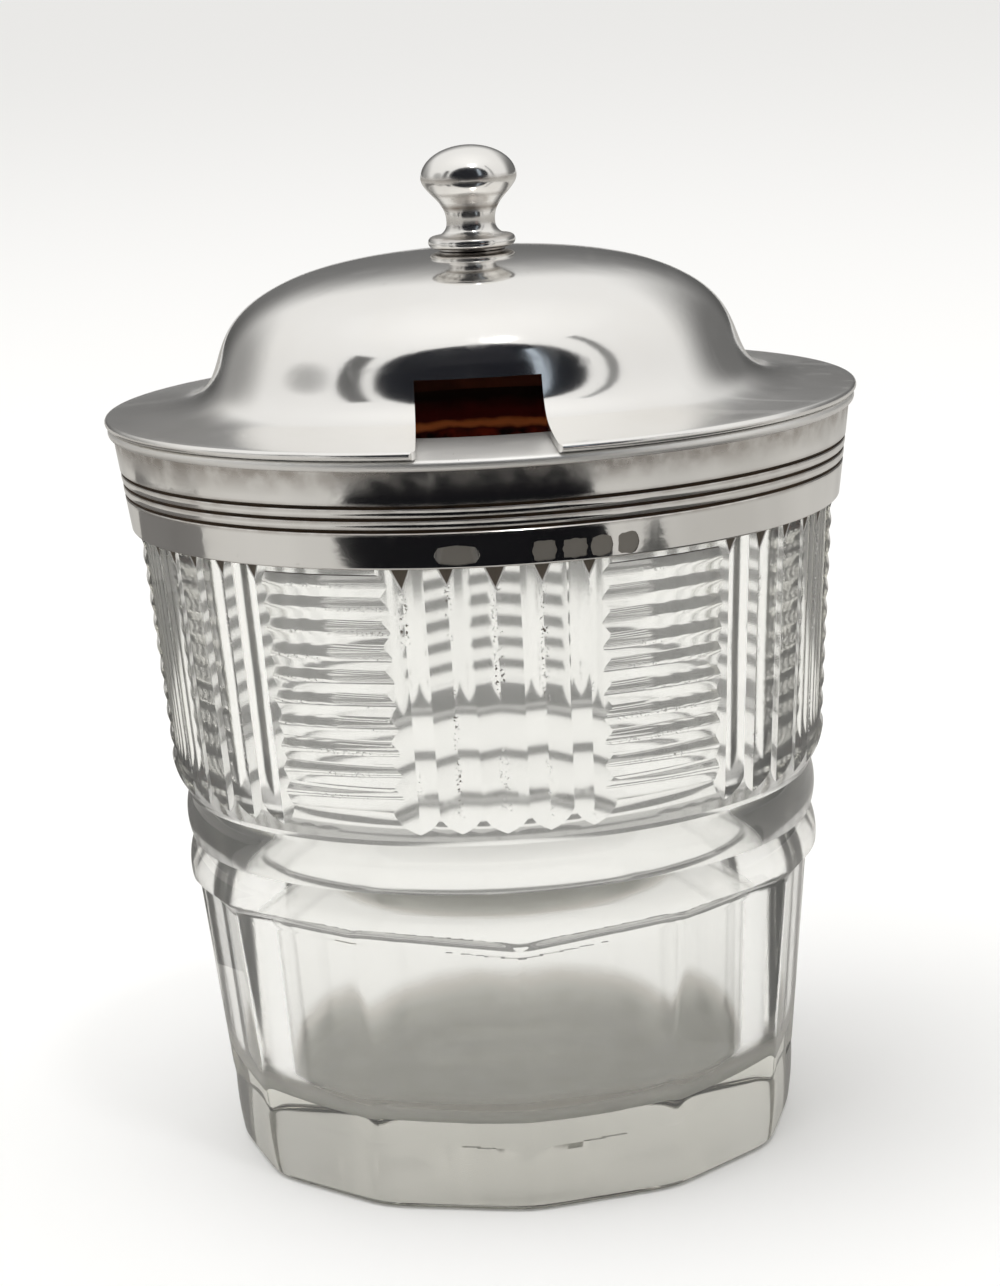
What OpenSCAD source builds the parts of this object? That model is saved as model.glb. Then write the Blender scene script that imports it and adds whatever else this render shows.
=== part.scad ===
// Mustard pot: a cut-glass jar in a silver mount, with a hinged domed lid that is notched for the spoon.
// Millimetres, +Z up. The jar's axis is Z and its ground base is Z = 0.
// The spoon notch faces -Y and the hinge is at the back, at +Y.

/* [Glass foot and panels] */
// Height of the glass from its base to the collar
body_h = 53.7; // [46:0.1:66]
// Height of the foot, up to the panels
foot_h = 5.5; // [3.5:0.1:9]
// Distance from the axis to each side of the flat face that the jar stands on
foot_face_r = 22.9; // [20:0.1:23.2]
// Distance from the axis to each side of the foot, at its top
foot_r = 23.45; // [23.4:0.05:24.4]
// Distance from the axis to each panel at its foot
waist_r = 23.35; // [22.6:0.05:23.4]
// Number of flat panels around the lower body
panel_count = 12; // [8:1:18]
// Angle from the front to the nearest edge between two panels
panel_turn = 2.2; // [0:0.2:30]
// Distance from the axis to each panel at the top of its flat
panel_top_r = 25.1; // [24:0.1:25.2]
// Radius that each panel runs out on, below the rings
panel_runout_r = 1.6; // [1.2:0.1:2.4]
// Height from the panels' flats to the lower ring
panel_gap = 0.1; // [0:0.05:1]

/* [Glass rings] */
// Radius over the two rings
ring_r = 26.55; // [26.4:0.05:27.2]
// Height of each ring
ring_h = 4.4; // [3:0.1:6]
// How far the rings stand out from the groove between them
ring_proud = 0.45; // [0.2:0.05:0.45]

/* [Cut band] */
// Height of the undercut that leads from the upper ring out to the cut band
undercut_h = 2.5; // [1.5:0.1:4]
// Radius of the cut band at its foot
band_foot_r = 27.45; // [27.2:0.05:28]
// Radius of the cut band where it goes into the collar
band_top_r = 28.95; // [28.4:0.05:30]
// Height of the cut band that shows
band_h = 19.6; // [14:0.1:26]
// Angle from the front to the middle of the fluted panel there
pattern_turn = 0.8; // [-10:0.2:10]
// How many times the pair of a fluted panel and a ladder panel goes round the jar
pattern_count = 6; // [4:2:8]
// Upright mitre cuts in the fluted panels at the front and the back
flute_count = 5; // [3:1:7]
// Upright mitre cuts in the other fluted panels
side_flute_count = 6; // [3:1:7]
// Width of a ladder panel, counted in flutes
ladder_span = 2.6; // [2:0.1:5]
// Depth of the upright cuts
flute_depth = 0.5; // [0.3:0.05:0.8]
// Spacing of the level cuts in the ladder panels
ladder_pitch = 1.9; // [1.5:0.05:3]
// Depth of the level cuts in the ladder panels
ladder_depth = 0.22; // [0.1:0.02:0.4]
// Distance from the collar down to the first level cut
ladder_drop = 1.4; // [1:0.1:1.8]

/* [Inside of the glass] */
// Thickness of the glass under the floor
floor_t = 6.5; // [5:0.1:10]
// Radius of the inside just above its rounded floor
floor_r = 20.6; // [17:0.1:21]
// Radius of the corner between floor and wall
floor_round = 3; // [2:0.1:6]
// Radius of the mouth
mouth_r = 23.3; // [22:0.1:24.5]

/* [Collar] */
// Thickness of the collar's sheet
sleeve_t = 0.45; // [0.3:0.05:0.7]
// Height of the collar's sleeve
sleeve_h = 7.9; // [7:0.05:12]
// How much the sleeve's radius grows from its foot to its top
sleeve_flare = 1.05; // [0.6:0.05:1.6]
// How far the sleeve reaches down over the cut band
sleeve_cover = 0.8; // [0.5:0.1:1.5]
// Number of reeds round the sleeve
reed_count = 2; // [1:1:4]
// Width of each reed
reed_w = 0.93; // [0.7:0.01:1.2]
// Depth of the lines between the reeds
reed_depth = 0.2; // [0.1:0.02:0.26]
// Distance from the sleeve's top down to the first line
reed_drop = 3.05; // [2:0.05:3.4]
// Thickness of the rim plate that the lid rests on
plate_t = 0.6; // [0.4:0.05:0.9]
// Slope of the rim plate and of the lid's flange, in degrees
plate_slope = 4.5; // [2:0.5:8]
// Thickness of the rim plate's rounded lip
lip_t = 0.85; // [0.7:0.05:1.1]
// How far the rim plate stands out past the sleeve
lip_proud = 0.4; // [0.2:0.05:0.7]
// Height of the skirt that the rim plate turns down into the mouth
skirt_h = 1.8; // [1.4:0.1:4]
// Thickness of the plaster over the glass lip, at the sleeve
lip_bed = 0.9; // [0.3:0.05:1.5]

/* [Lid] */
// Thickness of the lid's sheet
lid_t = 0.65; // [0.5:0.05:0.9]
// How far the lid's edge stands out past the rim plate
lid_overhang = 0.2; // [0:0.05:0.5]
// Radius of the dome's wall
dome_r = 21.5; // [19:0.1:22.5]
// Height of the dome above its wall
dome_h = 8.15; // [6:0.05:12]
// Fullness of the dome: 2 is an ellipse, more is squarer
dome_power = 2.35; // [2:0.05:3]
// Radius of the hollow between flange and dome
flange_round = 3.4; // [2:0.1:3.5]
// Distance from the notch's middle to its straight side
notch_straight = 5.05; // [4:0.05:7]
// Distance from the notch's middle to its flared side, at the dome
notch_flared_in = 4.5; // [4:0.05:7]
// Distance from the notch's middle to its flared side, at the lid's edge
notch_flared_out = 5.65; // [4:0.05:8]
// Height of the notch's top above the flange's edge
notch_h = 4.8; // [4.7:0.1:6]
// Radius of the two corners where the notch meets the lid's edge
notch_round = 0.9; // [0.4:0.1:1.5]

/* [Finial] */
// Radius of the knob
knob_r = 3.95; // [3:0.05:5.5]
// Height of the knob's rounded top
knob_top_h = 2.6; // [1.5:0.1:4]
// Height from the neck to the knob's widest point
knob_under_h = 3.7; // [2.5:0.1:5]
// Radius of the neck
neck_r = 2; // [1.5:0.01:2.6]
// Height from the ring to the neck
neck_h = 1.05; // [0.8:0.05:2]
// Radius of the ring
collet_r = 3.6; // [3:0.05:4.5]
// Thickness of the ring
collet_h = 0.95; // [0.7:0.05:2]
// Radius of the stem under the ring
stem_r = 2.7; // [1.8:0.05:2.8]
// Height of the stem
stem_h = 0.2; // [0.1:0.05:1.2]
// Radius of the stud that goes through the dome
stud_r = 1.1; // [0.8:0.05:1.4]
// Width of the nut across its flats
nut_w = 4.6; // [3.8:0.1:6]
// Thickness of the nut
nut_t = 1.5; // [1:0.1:2.5]

/* [Hinge] */
// Radius of the knuckles
knuckle_r = 1.4; // [1.2:0.05:1.8]
// Radius of the pin
pin_r = 0.6; // [0.4:0.05:0.8]
// Length of the hinge
hinge_w = 16.4; // [12:0.2:22]
// Length of the lid's knuckle, in the middle
lid_knuckle_w = 5.6; // [4:0.2:8]
// Height of the leaf on the collar
leaf_h = 1.5; // [1:0.1:1.9]
// Thickness of the leaf on the collar
leaf_t = 0.9; // [0.6:0.05:1.2]
// How far the pin's peened ends stand out of the knuckles
pin_head = 0.3; // [0.1:0.05:0.6]

/* [Fits] */
// Joint between pieces that are soldered or bedded together
seat_gap = 0.03; // [0.02:0.01:0.06]
// Gap between the closed lid and the rim plate
lid_gap = 0.08; // [0.05:0.01:0.2]
// Radial clearance of the hinge pin
pin_gap = 0.03; // [0.02:0.01:0.06]
// Gap between the ends of neighbouring knuckles
knuckle_gap = 0.2; // [0.1:0.05:0.4]
// Gap between a hinge piece and what passes it
swing_gap = 0.15; // [0.1:0.05:0.3]

/* [Hidden] */
$fn = 96;
big = 60;

// Heights of the glass, from the collar down
collar_z = body_h;
band_z = collar_z - band_h;
groove_z = band_z - undercut_h;
ring_z = groove_z - 2 * ring_h;
panel_top_z = ring_z - panel_gap;
panel_h = panel_top_z - foot_h;
shoulder_z = collar_z + sleeve_cover;
lip_z = collar_z + sleeve_h - lip_bed;

// The foot's sides swell from the jar's face to upright at the panels, at a share of the foot's height
function foot_side_r(share) = foot_r - (foot_r - foot_face_r) * pow(1 - share, 2);

// The rings are arcs that meet in the groove between them
groove_r = ring_r - ring_proud;
undercut_r = groove_r + 0.3;
core_r = groove_r - 0.3;
ring_arc_r = (ring_h * ring_h / 4 + ring_proud * ring_proud) / (2 * ring_proud);

// The cut band is a cone
band_taper = (band_top_r - band_foot_r) / band_h;
function band_r(z) = band_foot_r + (z - band_z) * band_taper;
all_flutes = 2 * flute_count + (pattern_count - 2) * side_flute_count;
unit_angle = 360 / (all_flutes + pattern_count * ladder_span);
ladder_count = floor((band_h - ladder_drop) / ladder_pitch) + 1;
ladder_skim = 0.05;
neck_step = 0.3;
glass_neck_r = band_top_r - flute_depth - neck_step;

// The collar's sleeve, from its foot to its top
sleeve_foot_r = band_top_r + seat_gap + sleeve_t;
sleeve_top_r = sleeve_foot_r + sleeve_flare;
function sleeve_r(z) = sleeve_foot_r + (z - collar_z) * sleeve_flare / sleeve_h;
sleeve_top_z = collar_z + sleeve_h;
reed_top_z = sleeve_top_z - reed_drop;

// The rim plate slopes up towards the mouth, and the lid's flange lies on it
slope = tan(plate_slope);
lip_r = sleeve_top_r + lip_proud;
function plate_under_z(r) = sleeve_top_z + seat_gap + (sleeve_top_r - r) * slope;
function plate_top_z(r) = plate_under_z(r) + plate_t / cos(plate_slope);
lip_mid_r = lip_r - lip_t / 2;
lip_mid_z = plate_top_z(lip_mid_r) - lip_t / 2 / cos(plate_slope);
skirt_gap = 0.2;
skirt_out_r = mouth_r - skirt_gap;
skirt_in_r = skirt_out_r - plate_t;

// The lid
lid_r = lip_r + lid_overhang;
function flange_under_z(r) = plate_top_z(r) + lid_gap;
function flange_top_z(r) = flange_under_z(r) + lid_t / cos(plate_slope);
edge_r = lid_r - lid_t / 2;
edge_z = flange_under_z(edge_r) + lid_t / 2 / cos(plate_slope);
hollow_r = dome_r + flange_round;
wall_z = flange_top_z(hollow_r) + flange_round / cos(plate_slope);
apex_z = wall_z + dome_h;
notch_top_z = flange_under_z(lid_r) + notch_h;

// The finial stands on the dome's apex
collet_z = apex_z + stem_h;
neck_z = collet_z + collet_h + neck_h;
knob_z = neck_z + knob_under_h;
nut_top_z = apex_z - lid_t - seat_gap - 0.05;
stud_end = 0.4;

// The hinge's axis lies behind the lid's edge, level with the middle of the sheet
hinge_y = lid_r + knuckle_r + swing_gap;
hinge_z = edge_z;
leaf_top_z = lip_mid_z - lip_t / 2 - swing_gap;
fixed_knuckle_w = (hinge_w - lid_knuckle_w) / 2 - knuckle_gap;

// Points of an arc about [r, z], from angle a to angle b
function arc(r, z, radius, a, b, steps = 8) =
    [for (i = [0:steps]) let (t = a + (b - a) * i / steps) [r + radius * cos(t), z + radius * sin(t)]];

// Points of the dome's curve, from its wall to its apex
function dome(r, h, steps = 18) =
    [for (i = [0:steps]) let (t = 90 * (1 - i / steps))
        [r * pow(sin(t), 2 / dome_power), wall_z + h * pow(cos(t), 2 / dome_power)]];

function reversed(list) = [for (i = [len(list) - 1:-1:0]) list[i]];

// Glass jar

// The glass as it was blown, with its rings and the band still uncut
module blank() {
    rotate_extrude() {
        polygon([
            [0, 0], [groove_r, 0], [groove_r, ring_z + ring_h / 2], [core_r, ring_z + ring_h / 2],
            [core_r, groove_z], [undercut_r, groove_z], [band_foot_r, band_z],
            [band_r(shoulder_z), shoulder_z], [glass_neck_r, shoulder_z], [glass_neck_r, lip_z], [0, lip_z],
        ]);
        for (i = [0.5, 1.5])
            translate([ring_r - ring_arc_r, ring_z + i * ring_h]) circle(ring_arc_r);
    }
}

// The inside, from the rounded floor out to the mouth
module inside() {
    lean = atan((mouth_r - floor_r) / (lip_z - floor_t - floor_round));
    rotate_extrude()
        polygon(concat(
            [[0, lip_z + 1], [0, floor_t]],
            arc(floor_r - floor_round, floor_t + floor_round, floor_round, -90, -lean),
            [[mouth_r, lip_z], [mouth_r, lip_z + 1]]));
}

// One side of the foot and the panel above it, with the hollow where the wheel left the glass, at +X
module side_cut() {
    lean = atan((panel_top_r - waist_r) / panel_h);
    hollow = panel_runout_r - 0.04;
    width = foot_r;
    out = 2 * foot_r;
    foot_steps = 5;
    translate([0, width / 2, 0]) rotate([90, 0, 0])
        linear_extrude(width) {
            polygon(concat(
                [for (i = [-1:foot_steps]) [foot_side_r(i / foot_steps), foot_h * i / foot_steps]],
                [[waist_r, foot_h], [panel_top_r, panel_top_z]],
                [[out, panel_top_z], [out, -foot_h / foot_steps]]));
            translate([panel_top_r + hollow * cos(lean), panel_top_z - hollow * sin(lean)])
                circle(panel_runout_r);
        }
}

// How many flutes the fluted panel with a number has, counted from the front
function flutes(i) = i % (pattern_count / 2) == 0 ? flute_count : side_flute_count;
// Angle from the first fluted panel's middle to another one's
function panel_middle(i) =
    i == 0 ? 0 : panel_middle(i - 1) + (flutes(i - 1) / 2 + ladder_span + flutes(i) / 2) * unit_angle;
// Angle to the middle of the ladder panel that follows a fluted panel
function ladder_middle(i) = panel_middle(i) + (flutes(i) + ladder_span) / 2 * unit_angle;

// One upright mitre cut on the side at +X
module flute_cut() {
    ridge_r = band_r(shoulder_z) + 0.05;
    half_w = ridge_r * sin(unit_angle / 2);
    rise = flute_depth - ridge_r * (1 - cos(unit_angle / 2));
    reach = 2;
    lean = atan(band_taper);
    low = groove_z + undercut_h / 4;
    translate([band_r(low), 0, low]) rotate([0, lean, 0])
        linear_extrude((shoulder_z - low) / cos(lean) + 1)
            polygon([
                [-flute_depth, 0],
                [-flute_depth + rise * reach, half_w * reach],
                [-flute_depth + rise * reach, -half_w * reach],
            ]);
}

// One ladder panel of level mitre cuts, centred on +X and ending in the flutes on both sides of it
module ladder_cut() {
    span = (ladder_span + 1) * unit_angle;
    first_z = collar_z - ladder_drop;
    last_z = first_z - (ladder_count - 1) * ladder_pitch;
    clear = 2;
    cuts = [for (i = [0:2 * ladder_count])
        let (z = last_z + (i - 1) * ladder_pitch / 2)
        [band_r(z) - ladder_skim - (i % 2) * ladder_depth, z]];
    rotate([0, 0, -span / 2]) rotate_extrude(angle = span)
        polygon(concat(
            [[band_top_r + clear, cuts[0][1] - ladder_pitch / 4]],
            [[band_r(cuts[0][1]), cuts[0][1] - ladder_pitch / 4]],
            cuts,
            [[band_top_r + clear, cuts[2 * ladder_count][1]]]));
}

module glass_jar() {
    front = -90;
    color([0.86, 0.91, 0.88, 0.6])
        difference() {
            blank();
            inside();
            for (i = [0:panel_count - 1])
                rotate([0, 0, front + panel_turn + (i + 0.5) * 360 / panel_count]) side_cut();
            for (i = [0:pattern_count - 1]) {
                rotate([0, 0, front + pattern_turn + panel_middle(i)])
                    for (j = [0:flutes(i) - 1])
                        rotate([0, 0, (j - (flutes(i) - 1) / 2) * unit_angle]) flute_cut();
                rotate([0, 0, front + pattern_turn + ladder_middle(i)]) ladder_cut();
            }
        }
}

// Collar

// Plaster that beds the mount on the glass: a sleeve round the neck and a ring over the lip
module plaster_bed() {
    in_r = glass_neck_r + seat_gap;
    low = shoulder_z + seat_gap;
    top = lip_z + seat_gap;
    out = sleeve_t + seat_gap;
    color("whitesmoke")
        rotate_extrude()
            polygon([
                [in_r, low], [sleeve_r(low) - out, low],
                [sleeve_top_r - out, plate_under_z(sleeve_top_r - out) - seat_gap],
                [mouth_r, plate_under_z(mouth_r) - seat_gap], [mouth_r, top], [in_r, top],
            ]);
}

// The sleeve's own section, with lines cut between its reeds
module collar_sleeve() {
    color("silver")
        rotate_extrude()
            difference() {
                polygon([
                    [sleeve_foot_r - sleeve_t, collar_z], [sleeve_foot_r, collar_z],
                    [sleeve_top_r, sleeve_top_z],
                    [sleeve_top_r - sleeve_t, sleeve_top_z + sleeve_t * slope],
                ]);
                for (i = [0:reed_count])
                    let (z = reed_top_z - i * reed_w)
                        translate([sleeve_r(z), z]) rotate(45)
                            square(reed_depth * sqrt(2), center = true);
            }
}

// Rim plate with a rounded lip, turned down into the mouth
module collar_rim() {
    bend = 1.2 * plate_t;
    bend_r = skirt_in_r + bend;
    lip_top_r = lip_mid_r + lip_t / 2 * sin(plate_slope);
    color("silver")
        rotate_extrude()
            difference() {
                union() {
                    translate([lip_mid_r, lip_mid_z]) circle(lip_t / 2);
                    polygon(concat(
                        [[lip_mid_r, plate_under_z(lip_mid_r)], [lip_top_r, plate_top_z(lip_top_r)]],
                        arc(bend_r, plate_top_z(bend_r) - bend / cos(plate_slope), bend, 90 - plate_slope, 180),
                        [[skirt_in_r, plate_under_z(skirt_out_r) - skirt_h],
                         [skirt_out_r, plate_under_z(skirt_out_r) - skirt_h],
                         [skirt_out_r, plate_under_z(skirt_out_r)]]));
                }
                polygon([
                    [sleeve_foot_r - sleeve_t, collar_z], [sleeve_foot_r + seat_gap, collar_z],
                    [sleeve_top_r + seat_gap, plate_under_z(sleeve_top_r + seat_gap)],
                    [sleeve_foot_r - sleeve_t, plate_under_z(sleeve_foot_r - sleeve_t)],
                ]);
            }
}

// Hinge

// Space that the fixed hinge leaf keeps out of: the sleeve, the rim's lip and the lid's edge
module mount_space() {
    rotate_extrude()
        polygon([
            [0, collar_z], [sleeve_foot_r + seat_gap, collar_z],
            [sleeve_r(leaf_top_z) + seat_gap, leaf_top_z],
            [lid_r + swing_gap / 2, leaf_top_z], [lid_r + swing_gap / 2, apex_z], [0, apex_z],
        ]);
}

// A cylinder along the hinge's axis, centred at x
module on_axis(r, w, x = 0) {
    translate([x, hinge_y, hinge_z]) rotate([0, 90, 0]) cylinder(r = r, h = w, center = true);
}

// Leaf soldered to the sleeve, with the two outer knuckles
module hinge_leaf() {
    leaf_r = sleeve_r(leaf_top_z) + leaf_t;
    low = leaf_top_z - leaf_h;
    back = hinge_y + knuckle_r * cos(30);
    color("silver")
        difference() {
            union() {
                intersection() {
                    translate([-hinge_w / 2, 0, low]) cube([hinge_w, big, leaf_h]);
                    cylinder(r = leaf_r, h = big * 2);
                }
                for (side = [-1, 1]) {
                    x = side * (hinge_w - fixed_knuckle_w) / 2;
                    on_axis(knuckle_r, fixed_knuckle_w, x);
                    translate([x - fixed_knuckle_w / 2, 0, 0]) rotate([90, 0, 90])
                        linear_extrude(fixed_knuckle_w)
                            polygon([
                                [leaf_r - 2 * leaf_t, low], [leaf_r, low],
                                [back, hinge_z - knuckle_r / 2], [hinge_y, hinge_z],
                                [hinge_y - knuckle_r, hinge_z], [leaf_r - 2 * leaf_t, leaf_top_z],
                            ]);
                }
            }
            mount_space();
            on_axis(pin_r + pin_gap, 2 * hinge_w);
        }
}

// Pin with peened ends
module hinge_pin() {
    color("gray") {
        on_axis(pin_r, hinge_w + 2 * seat_gap);
        for (side = [-1, 1])
            on_axis(pin_r + pin_head, pin_head, side * (hinge_w / 2 + seat_gap + pin_head / 2));
    }
}

// Knuckle on the lid, with the short web that joins it to the lid's edge
module lid_knuckle() {
    color("silver")
        difference() {
            union() {
                on_axis(knuckle_r, lid_knuckle_w);
                translate([-lid_knuckle_w / 2, edge_r, edge_z - lid_t / 2])
                    cube([lid_knuckle_w, hinge_y - edge_r, lid_t]);
            }
            cylinder(r = lid_r + seat_gap, h = big * 2);
            on_axis(pin_r + pin_gap, 2 * lid_knuckle_w);
        }
}

// Lid

// The notch's plan, in the flange and the foot of the dome
module notch_plan() {
    edge_y = -sqrt(lid_r * lid_r - notch_straight * notch_straight);
    far_y = -lid_r - 5;
    near_y = -dome_r + 4;
    polygon([
        [-notch_straight, near_y], [-notch_straight, far_y], [notch_flared_out, far_y],
        [notch_flared_out, edge_y], [notch_flared_in, near_y],
    ]);
    for (side = [-1, 1])
        let (x = side < 0 ? -notch_straight : notch_flared_out)
            difference() {
                translate([x - (side < 0 ? notch_round : notch_round / 2), far_y])
                    square([1.5 * notch_round, notch_round + edge_y - far_y]);
                translate([x + side * notch_round, edge_y + notch_round]) circle(notch_round);
            }
}

// Dome, hollow and flange of one thickness, with a rounded edge and the spoon notch
module lid() {
    outer = concat(
        arc(edge_r, edge_z, lid_t / 2, -90 - plate_slope, 90 - plate_slope),
        arc(hollow_r, wall_z, flange_round, 270 - plate_slope, 180),
        dome(dome_r, dome_h));
    inner = concat(
        arc(hollow_r, wall_z, flange_round + lid_t, 270 - plate_slope, 180),
        dome(dome_r - lid_t, dome_h - lid_t));
    color("gainsboro")
        difference() {
            rotate_extrude() polygon(concat(outer, reversed(inner)));
            translate([0, 0, collar_z]) linear_extrude(notch_top_z - collar_z) notch_plan();
            translate([0, 0, wall_z]) cylinder(r = stud_r + seat_gap, h = 2 * dome_h);
        }
}

// Finial

// Turned knob, neck and ring on a short stem, with the stud that holds it to the dome
module finial() {
    // The knob's underside leaves the neck slowly, and turns upright at the widest point
    function under(share) = (1 - cos(180 * pow(share, 1.3))) / 2;
    color("silver")
        rotate_extrude()
            polygon(concat(
                [[0, nut_top_z - nut_t - stud_end], [stud_r, nut_top_z - nut_t - stud_end], [stud_r, apex_z],
                 [stem_r, apex_z], [stem_r, collet_z]],
                arc(collet_r - collet_h / 2, collet_z + collet_h / 2, collet_h / 2, -90, 90),
                arc(neck_r + neck_h, neck_z, neck_h, 250, 180),
                [for (i = [1:9])
                    [neck_r + (knob_r - neck_r) * under(i / 10), neck_z + knob_under_h * i / 10]],
                [for (t = [0:10:90]) [knob_r * cos(t), knob_z + knob_top_h * sin(t)]]));
}

// Hexagon nut on the stud, inside the dome
module finial_nut() {
    color("silver")
        translate([0, 0, nut_top_z - nut_t])
            difference() {
                cylinder(r = nut_w / 2 / cos(30), h = nut_t, $fn = 6);
                translate([0, 0, -1]) cylinder(r = stud_r + seat_gap, h = nut_t + 2);
            }
}

glass_jar();
plaster_bed();
collar_sleeve();
collar_rim();
hinge_leaf();
hinge_pin();
lid();
lid_knuckle();
finial();
finial_nut();
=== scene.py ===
# %% [markdown]
# # A mustard pot in cut glass and silver
#
# The pot is a thick glass jar, cut by hand on a wheel, with a silver collar bedded on its neck and a domed
# silver lid that swings on a hinge at the back. A notch at the front lets the spoon stay in the mustard.
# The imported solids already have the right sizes. Here each one gets a finer skin in the same place, and
# a finish.

# %% Load the solids
import math
import random

import bmesh
import bpy
from mathutils import Matrix, Vector, noise


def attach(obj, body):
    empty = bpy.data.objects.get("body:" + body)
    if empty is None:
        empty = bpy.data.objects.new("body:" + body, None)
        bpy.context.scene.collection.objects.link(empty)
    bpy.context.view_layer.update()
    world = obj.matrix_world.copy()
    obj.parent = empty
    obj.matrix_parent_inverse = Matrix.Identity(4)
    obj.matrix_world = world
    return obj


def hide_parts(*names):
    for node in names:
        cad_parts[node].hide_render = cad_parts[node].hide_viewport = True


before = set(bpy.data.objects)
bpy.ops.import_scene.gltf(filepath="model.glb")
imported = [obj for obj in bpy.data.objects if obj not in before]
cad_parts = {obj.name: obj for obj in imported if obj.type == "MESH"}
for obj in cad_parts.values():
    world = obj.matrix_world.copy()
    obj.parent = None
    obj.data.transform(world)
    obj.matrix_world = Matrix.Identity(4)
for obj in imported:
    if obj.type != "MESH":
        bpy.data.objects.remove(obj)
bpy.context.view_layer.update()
MM = 0.001

# %% [markdown]
# ## Camera
#
# The photograph looks at the pot from close by, a little from above and slightly out of level. A close camera
# matters here: it opens the ellipses at the foot much more than those at the lid. A Track To constraint could
# aim the camera, but it would keep it level. The lens, place and roll below come from fitting those ellipses,
# so the camera is built from its three axes.

# %% Camera
CAMERA_DISTANCE = 0.300
CAMERA_TARGET = Vector((0, 0, 0.03903))
CAMERA_RISE = math.radians(12.24)
CAMERA_ROLL = math.radians(-3.01)
SENSOR, LENS, SHIFT_X, SHIFT_Y, CLIP_START = 36, 99.51, 0.0042, 0.0248, 0.01

away = Vector((0, -math.cos(CAMERA_RISE), math.sin(CAMERA_RISE)))
upward = Vector((0, math.sin(CAMERA_RISE), math.cos(CAMERA_RISE)))
axes = Matrix((Vector((1, 0, 0)), upward, away)).transposed().to_4x4()
stand = Matrix.Translation(CAMERA_TARGET + away * CAMERA_DISTANCE)
camera = bpy.data.objects.new("camera", bpy.data.cameras.new("camera"))
camera.matrix_world = stand @ axes @ Matrix.Rotation(CAMERA_ROLL, 4, "Z")
camera.data.sensor_width, camera.data.lens = SENSOR, LENS
camera.data.shift_x, camera.data.shift_y = SHIFT_X, SHIFT_Y
camera.data.clip_start = CLIP_START
bpy.context.collection.objects.link(camera)
bpy.context.scene.camera = camera
print("camera at", [round(v, 4) for v in camera.location])

# %% [markdown]
# ## Sizes
#
# All sizes are in millimetres, as a maker would note them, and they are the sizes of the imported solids.
# Heights are from the table, and radii from the jar's axis.

# %% Sizes of the jar
# Foot and panels, with the radius of the wheel that cut the panels
FOOT_FACE, FOOT_SIDE, FOOT_TOP = 22.9, 23.45, 5.5
PANELS, PANEL_TURN = 12, 2.2
PANEL_FOOT, PANEL_TOP, PANEL_TOP_Z, WHEEL = 23.35, 25.1, 22.7, 1.6
# Two rings with grooves beside them
RING, RING_HEIGHT, RING_SWELL, RING_Z = 26.55, 4.4, 0.45, 22.8
GROOVE = RING - RING_SWELL
GROOVE_Z = RING_Z + 2 * RING_HEIGHT
# Cut band, neck and inside
BAND_Z, COLLAR_Z, SHOULDER_Z = 34.1, 53.7, 54.5
BAND_FOOT, BAND_TOP = 27.45, 28.95
NECK, LIP_Z = 28.15, 60.7
FLOOR_Z, FLOOR, FLOOR_CORNER, MOUTH = 6.5, 20.6, 3.0, 23.3
# Flutes in each group from the front round, and ladders between the groups, as wide as so many flutes
FLUTES, FLUTE_DEPTH, PATTERN_TURN, LADDER = [5, 6, 6, 5, 6, 6], 0.5, 0.8, 2.6
UNIT = 360 / (sum(FLUTES) + LADDER * len(FLUTES))
RUNGS, RUNG_PITCH, RUNG_DEPTH, RUNG_DROP = 10, 1.9, 0.22, 1.4


def band(z):
    """Radius of the uncut band at height z."""
    return BAND_FOOT + (z - BAND_Z) * (BAND_TOP - BAND_FOOT) / (COLLAR_Z - BAND_Z)


print("the cut band grows from", BAND_FOOT, "to", BAND_TOP, "mm in radius")

# %% [markdown]
# ## Turning and cutting
#
# Nearly everything here is round, so one helper turns an outline about the axis as a lathe does. Blender's
# Screw modifier would do that too, but building the rings by hand keeps a single point on the axis. A second
# helper cuts one closed mesh with others. It uses the Manifold solver, which is fast and keeps the result
# closed.

# %% Helpers for turning
ON_AXIS = 1e-6


def made(name, points, faces):
    """An object from points in mm."""
    mesh = bpy.data.meshes.new(name)
    mesh.from_pydata([Vector(p) * MM for p in points], [], faces)
    work = bmesh.new()
    work.from_mesh(mesh)
    bmesh.ops.recalc_face_normals(work, faces=work.faces)
    work.to_mesh(mesh)
    work.free()
    piece = bpy.data.objects.new(name, mesh)
    bpy.context.collection.objects.link(piece)
    return piece


def arc(r, z, radius, start, end, steps=12):
    """Points of an arc about (r, z), from one angle in degrees to another."""
    turns = [math.radians(start + (end - start) * i / steps) for i in range(steps + 1)]
    return [(r + radius * math.cos(t), z + radius * math.sin(t)) for t in turns]


def turned(name, outline, steps=288):
    """A closed outline of (radius, height) points, spun about the pot's axis."""
    rings, points, faces = [], [], []
    turns = [2 * math.pi * i / steps for i in range(steps)]
    for r, z in outline:
        first = len(points)
        if r < ON_AXIS:
            rings.append([first] * steps)
            points.append((0, 0, z))
        else:
            rings.append(range(first, first + steps))
            points += [(r * math.cos(t), r * math.sin(t), z) for t in turns]
    for low, high in zip(rings, rings[1:] + rings[:1]):
        for i in range(steps):
            j = (i + 1) % steps
            corners = list(dict.fromkeys((low[i], low[j], high[j], high[i])))
            if len(corners) > 2:
                faces.append(corners)
    return made(name, points, faces)


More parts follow.
